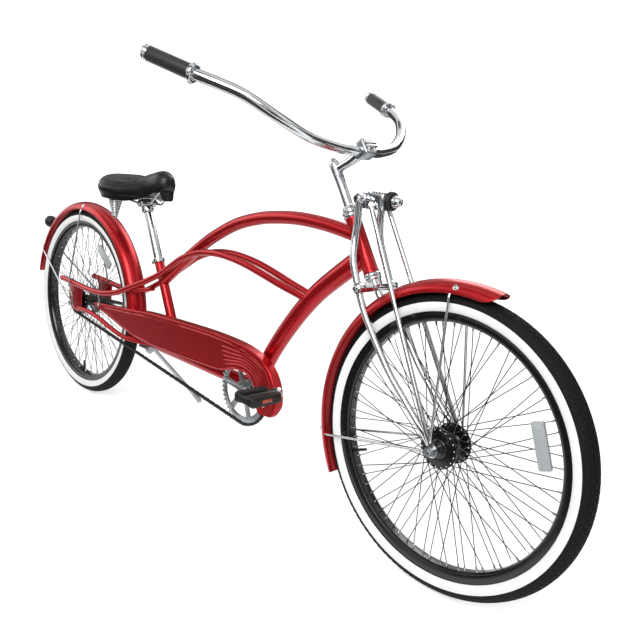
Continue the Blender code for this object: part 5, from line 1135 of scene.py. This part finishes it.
def makeSeat():
    foot = seatTop - seatUp * 0.11
    head = seatTop + seatUp * ((0.712 - seatTop.z) / seatUp.z)
    keepPiece("seatPost", "seat", "chrome", "seat_post",
              washer(foot, seatUp, 0.0, 0.0133, 0.0, (head - foot).length, chrome, 48, 0.0008))
    railHeight = head.z + 0.013
    pivot = Vector((head.x, 0.0, railHeight))
    cup = [(0.0, 0.0004), (0.0134, 0.0004), (0.0134, -0.016), (0.0193, -0.016), (0.0193, 0.006), (0.0, 0.006)]
    cheek = [(0.0, 0.0), (0.0125, 0.0), (0.0125, 0.0095), (0.0105, 0.0112), (0.0, 0.0112)]
    shapes = [turned(cup, facing(head, seatUp), chrome, 48, 0.0012),
              rod(pivot, left, -0.0185, 0.0185, 0.0118, chrome, 40, 0.001)]
    for out in (-left, left):
        shapes += [turned(cheek, facing(pivot + out * 0.0188, out), chrome, 40, 0.0006),
                   hexNut(pivot, out, 0.03, 0.036, 0.0075, nickel, 9.0)]
    keepPiece("saddleClamp", "seat", "chrome", "saddle_clamp", *shapes)

    rear, height, springX, springY = (saddle[key] for key in ("rear", "panHeight", "springX", "springY"))
    pan = []
    for i in range(41):
        x = rear + 0.012 + (saddle["panNose"] - rear - 0.012) * i / 40.0
        pan.append((x, 0.88 * saddleHalf((x - rear - 0.006) / (saddle["nose"] - rear))))
    shapes = [plate([bothWays(pan)], 0.0015, blackPaint, Matrix.Translation((0, 0, height)), 0.0004)]
    rail = [(0.47, 0.011, 0.769), (0.456, 0.016, 0.764), (0.433, 0.0215, 0.738), (0.416, 0.0225, railHeight + 0.001),
            (head.x + 0.01, 0.0225, railHeight), (head.x - 0.03, 0.0225, railHeight),
            (springX + 0.006, 0.029, height - 0.012), (springX - 0.018, 0.033, height - 0.003)]
    disc = [(0.0, 0.0), (0.0225, 0.0), (0.025, 0.002), (0.025, 0.004), (0.0215, 0.006), (0.0215, 0.0115),
            (0.0, 0.0115)]
    for side in sides.values():
        shapes += [tube(mirrored(rail, side), saddle["rail"], chrome, 20, 9),
                   turned(disc, facing((springX, side * springY, height - 0.012), up), chrome, 48, 0.0008)]
    keepPiece("saddleBase", "seat", "zinc_steel", "saddle_base", *shapes)

    top, drop, widest = height - 0.0145, saddle["springDrop"], saddle["springRadius"]
    for name, side in sides.items():
        coil = coilPath(saddle["springTurns"], 26, lambda share, c, s: (
            springX + widest * (1.0 - 0.72 * share) * c, side * (springY + widest * (1.0 - 0.72 * share) * s),
            top - drop * share))
        keepPiece("saddleSpring." + name, "seat", "chrome", "saddle_spring_" + name,
                  tube(coil, saddle["springWire"], chrome, 12, 0),
                  rod(Vector((springX, side * springY, top - drop)), up, 0.006, -0.0045, 0.0052, chrome, 20,
                      endRadius=0.004))
    cover = keepPiece("saddleCover", "seat", "saddle_vinyl", "saddle_cover", saddleCoverShape(), noseFlapShape())


makeHeadset()
makeStem()
makeHandlebar()
makeFork()
makeSeat()
print("steering, fork and seat made")


# Drive

drive = {
    "pitch": 0.0127,
    "ringTeeth": 46,
    "cogTeeth": 18,
    "line": -0.045,
    "toothHalf": 0.0012,
    "crankLength": 0.171,
    "crankDegrees": 16.3,
    "armY": 0.074,
    "armRadius": 0.0085,
    "pedalInner": 0.0905,
    "pedalLength": 0.096,
    "pedalWidth": 0.072,
    "pedalHeight": 0.026,
}
crankWay = polar(Vector(), drive["crankDegrees"], 1.0)


def pitchRadius(teeth):
    return drive["pitch"] / (2.0 * sin(pi / teeth))


def arcPoints(centre, radius, start, end, count):
    turns = [radians(start + (end - start) * i / count) for i in range(count + 1)]
    return [(centre.x + radius * cos(a), centre.z + radius * sin(a)) for a in turns]


def toothed(centre, teeth, bore, holes, finish):
    # A toothed plate with a bore and windows
    points = []
    for i in range(teeth):
        for offset, rise in ((-0.40, -0.0034), (-0.25, -0.0026), (-0.12, 0.0022), (-0.04, 0.0036), (0.04, 0.0036),
                             (0.12, 0.0022), (0.25, -0.0026), (0.40, -0.0034)):
            turn, radius = 2.0 * pi * (i + offset) / teeth, pitchRadius(teeth) + rise
            points.append((centre.x + radius * cos(turn), centre.z + radius * sin(turn)))
    return plate([points, arcPoints(centre, bore, 0.0, 345.0, 23)] + holes, drive["toothHalf"], finish,
                 sideways(drive["line"]))


def chainLink(pitch, plateY, pinRadius, pinHalf):
    # One link: two waisted plates, and a pin or roller at each end
    shape = bmesh.new()
    half = pitch / 2
    end = [(half + 0.0042 * cos(a), 0.0042 * sin(a))
           for a in [radians(-120.0 + 48.0 * i) for i in range(6)]]
    outline = end + [(0.0, 0.003)] + [(-x, -z) for x, z in end] + [(0.0, -0.003)]
    parts = [(outline, side * plateY, side * (plateY + 0.001)) for side in (-1.0, 1.0)]
    for x in (-half, half):
        parts.append(([(x + pinRadius * cos(pi * i / 4), pinRadius * sin(pi * i / 4))
                       for i in range(8)], -pinHalf, pinHalf))
    for points, low, high in parts:
        loft(shape, [[shape.verts.new((x, y, z)) for x, z in points] for y in (low, high)])
    return closedMesh(shape, chainSteel, 30.0)


def makeDrive():
    windows = []
    for middle in [60.0 * i + 22.0 for i in range(6)]:
        windows.append(arcPoints(crankPoint, 0.073, middle - 23.0, middle + 23.0, 14)
                       + arcPoints(crankPoint, 0.031, middle + 15.0, middle - 15.0, 8))
    rib = [(0.079, -0.0448), (0.08, -0.047), (0.0815, -0.047), (0.0825, -0.0448)]
    keepPiece("chainring", "crankset", "zinc_steel", "chainring",
              toothed(crankPoint, drive["ringTeeth"], 0.0091, windows, zinc),
              turned(rib, onAxle(crankPoint), zinc, 96, 0.0004))
    keepPiece("rearSprocket", "sprocket", "zinc_steel", "rear_sprocket",
              toothed(rearHub, drive["cogTeeth"], 0.0102, [], chainSteel),
              turned(band(0.0103, 0.0185, -0.0475, -0.0461), onAxle(rearHub), zinc, 48, 0.0003))
    # The chain's loop round both, and its inner and outer links by turns
    ringRadius, cogRadius = pitchRadius(drive["ringTeeth"]), pitchRadius(drive["cogTeeth"])
    line = crankPoint - rearHub
    heading = math.degrees(atan2(line.z, line.x))
    spread = math.degrees(acos((ringRadius - cogRadius) / line.length))
    path = [Vector((x, drive["line"], z)) for x, z in
            arcPoints(crankPoint, ringRadius, heading - spread, heading + spread, 90)
            + arcPoints(rearHub, cogRadius, heading + spread, heading + 360.0 - spread, 48)]
    around = sum((path[i] - path[i - 1]).length for i in range(len(path)))
    count = 2 * round(around / drive["pitch"] / 2)
    links = []
    for first, plateY, pinRadius, pinHalf in ((0, 0.0031, 0.0019, 0.0043), (1, 0.0019, 0.0037, 0.002)):
        loop = bpy.data.meshes.new("loop")
        loop.from_pydata(path, [(i, (i + 1) % len(path)) for i in range(len(path))], [])
        links.append(repeated(loopTree, chainLink(around / count, plateY, pinRadius, pinHalf), loop, Count=count,
                              First=first))
    keepPiece("chain", "frame", "zinc_steel", "chain", *links)

    out, arm = drive["armY"], crankWay * drive["crankLength"]
    half = [arm - left * (out + 0.004), arm * 0.55 - left * (out + 0.001), arm * 0.20 - left * (out - 0.002),
            arm * 0.09 - left * (out - 0.008), -left * (out - 0.016), -left * 0.044]
    shapes = [tube([crankPoint + point for point in half] + [crankPoint - point for point in reversed(half)],
                   drive["armRadius"], chrome, 32, 9)]
    for side in (-1.0, 1.0):
        end, way = crankPoint - arm * side + left * side * (out + 0.004), left * side
        shapes += [washer(end, way, 0.0, 0.0145, -0.0085, 0.0085, chrome, 48, 0.0022),
                   rod(end, way, 0.008, 0.0125 + drive["pedalLength"] * 0.93, 0.0055, zinc, 24),
                   hexNut(end, way, 0.0083, 0.0116, 0.0085, zinc, 8.0)]
    cone = [(0.0, 0.0388), (0.0185, 0.0388), (0.0185, 0.0425), (0.0155, 0.0436), (0.0, 0.0436)]
    cap = [(0.0, 0.0464), (0.015, 0.0464), (0.0135, 0.05), (0.0, 0.05)]
    keepPiece("crank", "crankset", "chrome", "crank", *shapes, turned(cone, facing(crankPoint, -left), chrome, 48),
              turned(cap, facing(crankPoint, -left), chrome, 48),
              hexNut(crankPoint, left, 0.0388, 0.045, 0.0175, chrome),
              rod(crankPoint + crankWay * 0.026, -left, 0.0455, 0.066, 0.0045, chrome, 24))


def makePedals():
    width, height, length, inner = (drive["pedal" + key] for key in ("Width", "Height", "Length", "Inner"))
    for name, side in sides.items():
        centre = crankPoint - crankWay * drive["crankLength"] * side
        shapes = []

        def part(x0, x1, y0, y1, z, finish, bevel, segments):
            # A block of the pedal: x0 and x1 fore and aft, y0 and y1 along it, z low and high
            ys = sorted((side * (inner + y0), side * (inner + y1)))
            (x0, x1), (z0, z1) = sorted((x0, x1)), sorted(z)
            shapes.append(block(centre + Vector((x0, ys[0], z0)), centre + Vector((x1, ys[1], z1)), finish, bevel,
                                segments))

        tread = (width - 0.022) / 2
        for fore in (-1.0, 1.0):
            near, far = sorted((fore * (width / 2 - tread + 0.002), fore * (width / 2 - 0.0012)))
            part(near, far, 0.0, length, (-height / 2 + 0.0012, height / 2 - 0.0012), plastic, 0.0045, 5)
            for x in [near + (far - near) * (0.2 + 0.3 * row) for row in range(3)]:
                for top in (-1.0, 1.0):
                    part(x - 0.0024, x + 0.0024, 0.006, length - 0.006,
                         (top * (height / 2 - 0.002), top * height / 2), plastic, 0.0008, 2)
            part(fore * (width / 2 - 0.003), fore * (width / 2 - 0.0003), length * 0.34, length * 0.66,
                 (-0.0045, 0.0045), amberLens, 0.001, 2)
        for start, end in ((0.0, 0.012), (length - 0.012, length)):
            part(-width / 2 + 0.009, width / 2 - 0.009, start, end, (-height / 2 + 0.004, height / 2 - 0.004),
                 plastic, 0.0025, 4)
        begin, finish = sorted((side * (inner + 0.002), side * (inner + length - 0.002)))
        end = centre + left * side * (inner + length)
        cap = [(0.0, -0.002), (0.0085, -0.002), (0.0085, 0.0), (0.007, 0.0), (0.0, 0.0)]
        keepPiece("pedal." + name, name + "_pedal", "black_plastic", "pedal_" + name, *shapes,
                  rod(centre, left, begin, finish, 0.0098, plastic, 32, 0.001),
                  turned(cap, facing(end, left * side), zinc, 28, 0.0004))


guard = {
    "y": 0.06,
    "sheet": 0.0012,
    "flange": 0.028,
    "corner": 0.004,
    "bead": 0.001,
    "beadHalf": 0.002,
    "ribs": 5,
    "top": [(0.153, 0.364), (0.25, 0.374), (0.39, 0.387), (0.493, 0.398), (0.663, 0.407), (0.813, 0.412),
            (0.92, 0.41), (0.981, 0.403), (1.033, 0.388), (1.07, 0.361), (1.092, 0.325), (1.099, 0.285),
            (1.093, 0.247)],
    "bottom": [(0.153, 0.353), (0.255, 0.335), (0.39, 0.308), (0.493, 0.2992), (0.62, 0.3025), (0.747, 0.308),
               (0.86, 0.315), (0.933, 0.3345), (0.98, 0.333), (1.005, 0.315), (1.019, 0.288), (1.024, 0.264),
               (1.033, 0.2415)],
    "screws": [(0.185, 0.361), (1.056, 0.272)],
}


def guardBump(x, s, width, along):
    # How far the pressed panel stands out: a bead inside each edge, and ribs sweeping round the front
    def ridge(distance, half, height):
        return height * (1.0 - min(abs(distance) / half, 1.0) ** 2) ** 2

    window = ramp(width, 0.022, 0.036) * ramp(x, 0.215, 0.235) * (1.0 - ramp(along, 0.965, 0.98))
    out = max(ridge(s - centre, guard["beadHalf"], guard["bead"]) * window for centre in (0.0075, width - 0.0115))
    for i in range(guard["ribs"]):
        lag = 0.012 * i
        window = ramp(along, 0.735 - lag, 0.747 - lag) * (1.0 - ramp(along, 0.905 - lag, 0.920 - lag))
        rib = ridge(s - (0.26 + 0.125 * i) * width, guard["beadHalf"] * 0.85, guard["bead"] * 1.1)
        out = max(out, rib * window)
    return out


def makeGuard():
    top, bottom = smoothPath(guard["top"], 40), smoothPath(guard["bottom"], 40)
    lengths = [0.0]
    for near, far in zip(top, top[1:]):
        lengths.append(lengths[-1] + (far - near).length)
    sheet, y0, corner, panel = guard["sheet"], guard["y"], guard["corner"], 46
    shape = bmesh.new()
    loops = []
    for length, high, low in zip(lengths, top, bottom):
        x, along = high.x, length / lengths[-1]
        rounding = 0.011 if along > 0.5 else 0.004
        toEnd = min(min(lengths[-1] - length, length) / rounding, 1.0)
        inset = rounding * (1.0 - sqrt(1.0 - (1.0 - toEnd) ** 2))
        way = (high - low).normalized()
        low, high = low + way * inset, high - way * inset
        width = (high - low).length
        least = corner + 0.0008
        depth = least + (guard["flange"] - least) * ramp(x, 0.26, 0.34) * (1.0 - 0.6 * ramp(along, 0.97, 1.0))
        bend = min(corner, width * 0.3)
        # Across the sheet: the rolled lower edge, the panel, the bend and the flange over the chain
        section = [(0.0026, y0 - 0.0042), (0.001, y0 - 0.0034), (0.0002, y0 - 0.0022), (0.0002, y0 - 0.0012),
                   (0.0008, y0 - 0.0004), (0.0018, y0)]
        for s in [0.0018 + (width - bend - 0.0018) * k / panel for k in range(1, panel)]:
            section.append((s, y0 + guardBump(x, s, width, along)))
        for turn in [radians(18.0 * k) for k in range(6)]:
            section.append((width - bend + bend * sin(turn), y0 - bend + bend * cos(turn)))
        section += [(width, y0 - (bend + depth) * 0.5), (width, y0 - depth)]
        inner = []
        for (s, y), before, after in zip(section, section[:1] + section, section[1:] + section[-1:]):
            run = Vector((after[0] - before[0], after[1] - before[1])).normalized()
            inner.append((s + run.y * sheet, y - run.x * sheet))
        points = [(low + way * s, y) for s, y in section + inner[::-1]]
        loops.append([shape.verts.new((point.x, -y, point.y)) for point, y in points])
    loft(shape, loops)
    post = [(0.185, -0.0594, 0.364), (0.185, -0.057, 0.372), (0.185, -0.059, 0.385), (0.185, -0.062, 0.399)]
    shapes = [closedMesh(shape, enamel, 45.0), tube(post, 0.0038, zinc, 16, 6)]
    for x, z in guard["screws"]:
        shapes += [washer((x, -y0, z), -left, 0.0, 0.006, 0.0, 0.001, nickel, 24, 0.0002),
                   screw(Vector((x, -y0 - 0.001, z)), -left, 0.0044)]
    keepPiece("chainGuard", "frame", "red_enamel", "chain_guard", *shapes)


def brakeArmShapes():
    y = 0.0522
    outline = smoothPath([(-0.012, 0.333), (-0.006, 0.3235), (0.006, 0.3225), (0.075, 0.333), (0.145, 0.343),
                          (0.1545, 0.3435), (0.156, 0.348), (0.153, 0.3535), (0.14, 0.3542), (0.07, 0.349),
                          (0.006, 0.345), (-0.006, 0.3435)], 4)
    bolt = Vector((0.15, y, 0.344))
    return [plate([outline], 0.0018, zinc, sideways(y), 0.0005),
            washer((0.15, 0.0578, 0.3192), (1.0, 0.0, -0.08), 0.0084, 0.011, -0.006, 0.006, zinc, 40),
            block((0.1455, y - 0.0015, 0.328), (0.1545, y + 0.0015, 0.347), zinc, 0.0006),
            hexNut(bolt, left, 0.0018, 0.0058, 0.0055, nickel, 14.0), screw(bolt - left * 0.0018, -left, 0.0045)]


# Stand

stand = {
    "pivot": (0.375, 0.038, 0.246),
    "foot": (0.408, 0.218),
    "footRadius": 0.009,
    "legRadius": 0.006,
    "stowed": (-0.997, 0.045, 0.065),
    "underFrame": 0.2647,
}


def makeStand():
    lean, radius, bottom = radians(stance["leanDegrees"]), stand["footRadius"], stand["underFrame"]
    pivot = Vector(stand["pivot"])
    foot = Vector((*stand["foot"], (radius + stand["foot"][1] * sin(lean)) / cos(lean)))
    way = (foot - pivot).normalized()
    axis = way.cross(Vector(stand["stowed"])).normalized()
    shapes = [block((0.388, -0.024, bottom - 0.004), (0.447, 0.03, bottom + 0.0005), zinc, 0.0014)]
    for x in (0.388, 0.444):
        shapes.append(block((x, -0.0225, bottom - 0.001), (x + 0.003, 0.0225, bottom + 0.0095), zinc, 0.0012))
    keepPiece("standBracket", "frame", "zinc_steel", "stand_bracket", *shapes,
              rod(pivot, axis, -0.022, -0.0075, 0.0115, zinc, 40, 0.0015),
              bar(pivot - axis * 0.02, (0.402, 0.012, bottom - 0.001), 0.0065, zinc, 24),
              rod(pivot, axis, -0.012, 0.0095, 0.004, nickel, 20),
              hexNut(Vector((0.4175, 0.003, bottom)), -up, 0.004, 0.0105, 0.0085, nickel, 12.0))
    boot = [(0.0, -0.033), (0.0068, -0.033), (0.0078, -0.031), (0.0084, -0.006)]
    boot += [(radius * cos(a), radius * sin(a))
             for a in [radians(-8.0 + 98.0 * i / 8.0) for i in range(8)]] + [(0.0, radius)]
    keepPiece("standLeg", "stand", "zinc_steel", "stand_leg",
              tube([pivot, pivot.lerp(foot, 0.35), pivot.lerp(foot, 0.7), foot], stand["legRadius"], zinc, 24, 6),
              washer(pivot, axis, 0.0043, 0.011, -0.0072, 0.0065, zinc, 44, 0.001),
              turned(boot, facing(foot, way), zinc, 32, 0.0))


makeDrive()
makePedals()
makeGuard()
makeAxle("front", 0.0611, "fork")
makeAxle("rear", 0.0626, "frame", *brakeArmShapes())
makeStand()
print("drive, guard and stand made")


# Studio

view = {
    "place": (2.34412, -1.23057, 0.89188),      # in the upright bicycle's frame
    "azimuth": 43.582,
    "elevation": 12.348,
    "roll": 5.357,
    "angle": 48.967,
    "worldLevel": 0.46,
    "floorLift": (0.50, 1.0),   # white that only the camera and mirrors see, near and far
    "floorReach": (1.4, 5.0),
    # Area lamps, aimed at the bicycle: place, size and watts
    "lamps": {"keyLamp": ((1.6, -2.6, 3.0), (2.2, 2.2), 108.0), "fillLamp": ((-2.8, -1.6, 2.0), (2.0, 2.0), 20.0),
              "backLamp": ((-0.6, 3.0, 2.6), (2.4, 1.6), 45.0)},
    "lampTarget": (0.0, 0.0, 0.5),
    # Dark walls round the bicycle in degrees, and flat dark cards as low x, high x, low y, high y, height
    "wall": {"distance": 4.2, "heights": (0.05, 2.5)},
    "wallSpans": [(-62.0, -22.0), (-8.0, 30.0), (38.0, 66.0), (80.0, 118.0), (140.0, 196.0), (214.0, 262.0)],
    "cards": [(-4.6, 1.6, -4.4, -0.75, 0.003), (-3.0, 4.2, 0.9, 3.6, 0.003), (-3.0, 3.4, -1.5, -0.7, 3.1),
              (-3.0, 3.4, 0.7, 1.5, 3.1), (1.9, 4.2, -0.5, 0.6, 0.003)],
}
white = (1.0, 1.0, 1.0, 1.0)


def makeCamera():
    turn, rise, roll = (radians(view[key]) for key in ("azimuth", "elevation", "roll"))
    back = Vector((sin(turn) * cos(rise), -cos(turn) * cos(rise), sin(rise)))
    right = Vector((cos(turn), sin(turn), 0.0))
    above = back.cross(right)
    turned = Matrix((right * cos(roll) + above * sin(roll), above * cos(roll) - right * sin(roll),
                     back)).transposed().to_4x4()
    lens = bpy.data.cameras.new("camera")
    lens.sensor_fit = "HORIZONTAL"
    lens.angle = radians(view["angle"])
    lens.clip_start = 0.01
    scene.camera = newObject("camera", lens)
    scene.camera.matrix_world = leanPlace @ Matrix.Translation(view["place"]) @ turned


def makeLamps():
    for name, (place, size, power) in view["lamps"].items():
        light = bpy.data.lights.new(name, "AREA")
        light.shape = "RECTANGLE"
        light.size, light.size_y = size
        light.energy = power
        aim = (Vector(place) - Vector(view["lampTarget"])).to_track_quat("Z", "Y")
        newObject(name, light).matrix_world = Matrix.Translation(place) @ aim.to_matrix().to_4x4()


def seenDirectly(tree):
    # 1 for rays that show the surroundings: camera, mirror and glass rays
    rays = addNode(tree, "ShaderNodeLightPath").outputs
    both = addNode(tree, "ShaderNodeMath", {0: rays["Is Camera Ray"], 1: rays["Is Glossy Ray"]}, operation="MAXIMUM")
    return addNode(tree, "ShaderNodeMath", {0: both, 1: rays["Is Transmission Ray"]}, operation="MAXIMUM")


def makeWorld():
    scene.world = bpy.data.worlds.new("studio")
    scene.world.use_nodes = True
    tree = scene.world.node_tree
    tree.nodes.clear()
    light = addNode(tree, "ShaderNodeBackground", {"Color": hexColour("#F4F6F8"), "Strength": view["worldLevel"]})
    seen = addNode(tree, "ShaderNodeBackground", {"Color": white, "Strength": 1.0})
    mix = addNode(tree, "ShaderNodeMixShader", {0: seenDirectly(tree), 1: light, 2: seen})
    addNode(tree, "ShaderNodeOutputWorld", {"Surface": mix})


def stagePiece(name, points, faces, material):
    mesh = bpy.data.meshes.new(name)
    mesh.from_pydata(points, [], faces)
    mesh.materials.append(material)
    made = newObject(name, mesh)
    return made


def makeFloor():
    made = bpy.data.materials.new("paleFloor")
    made.use_nodes = True
    tree = made.node_tree
    tree.nodes.clear()
    matt = addNode(tree, "ShaderNodeBsdfDiffuse", {"Color": hexColour("#E6E6E6")})
    place = addNode(tree, "ShaderNodeTexCoord")
    reach = addNode(tree, "ShaderNodeVectorMath", {0: place.outputs["Object"]}, operation="LENGTH")
    (near, far), (start, end) = view["floorLift"], view["floorReach"]
    spread = addNode(tree, "ShaderNodeMapRange", {"Value": reach.outputs["Value"], "From Min": start,
                                                  "From Max": end, "To Min": near, "To Max": far})
    level = addNode(tree, "ShaderNodeMath", {0: seenDirectly(tree), 1: spread}, operation="MULTIPLY")
    lift = addNode(tree, "ShaderNodeEmission", {"Color": white, "Strength": level})
    both = addNode(tree, "ShaderNodeAddShader", {0: matt, 1: lift})
    addNode(tree, "ShaderNodeOutputMaterial", {"Surface": both})
    stagePiece("floor", [(-30, -30, 0), (30, -30, 0), (30, 30, 0), (-30, 30, 0)], [(0, 1, 2, 3)], made)


def makeDarkWalls():
    # Dark walls that only mirrors show, for the dark bands in chrome and lacquer
    made = newMaterial("darkWall", "#101010", 0.0, 0.5, looks={
        "Specular IOR Level": 0.0, "Emission Color": "#464646", "Emission Strength": 1.0})
    distance, points, faces = view["wall"]["distance"], [], []
    for start, end in view["wallSpans"]:
        for i in range(9):
            turn = radians(start + (end - start) * i / 8.0)
            points += [(sin(turn) * distance, -cos(turn) * distance, height)
                       for height in view["wall"]["heights"]]
            if i:
                last = len(points) - 1
                faces.append((last - 3, last - 1, last, last - 2))
    for lowX, highX, lowY, highY, height in view["cards"]:
        points += [(lowX, lowY, height), (highX, lowY, height), (highX, highY, height), (lowX, highY, height)]
        faces.append(tuple(range(len(points) - 4, len(points))))
    walls = stagePiece("darkWalls", points, faces, made)
    walls.visible_camera = walls.visible_diffuse = walls.visible_shadow = False


makeCamera()
makeWorld()
makeFloor()
makeLamps()
makeDarkWalls()
scene.view_settings.view_transform = "Standard"
print("studio made")
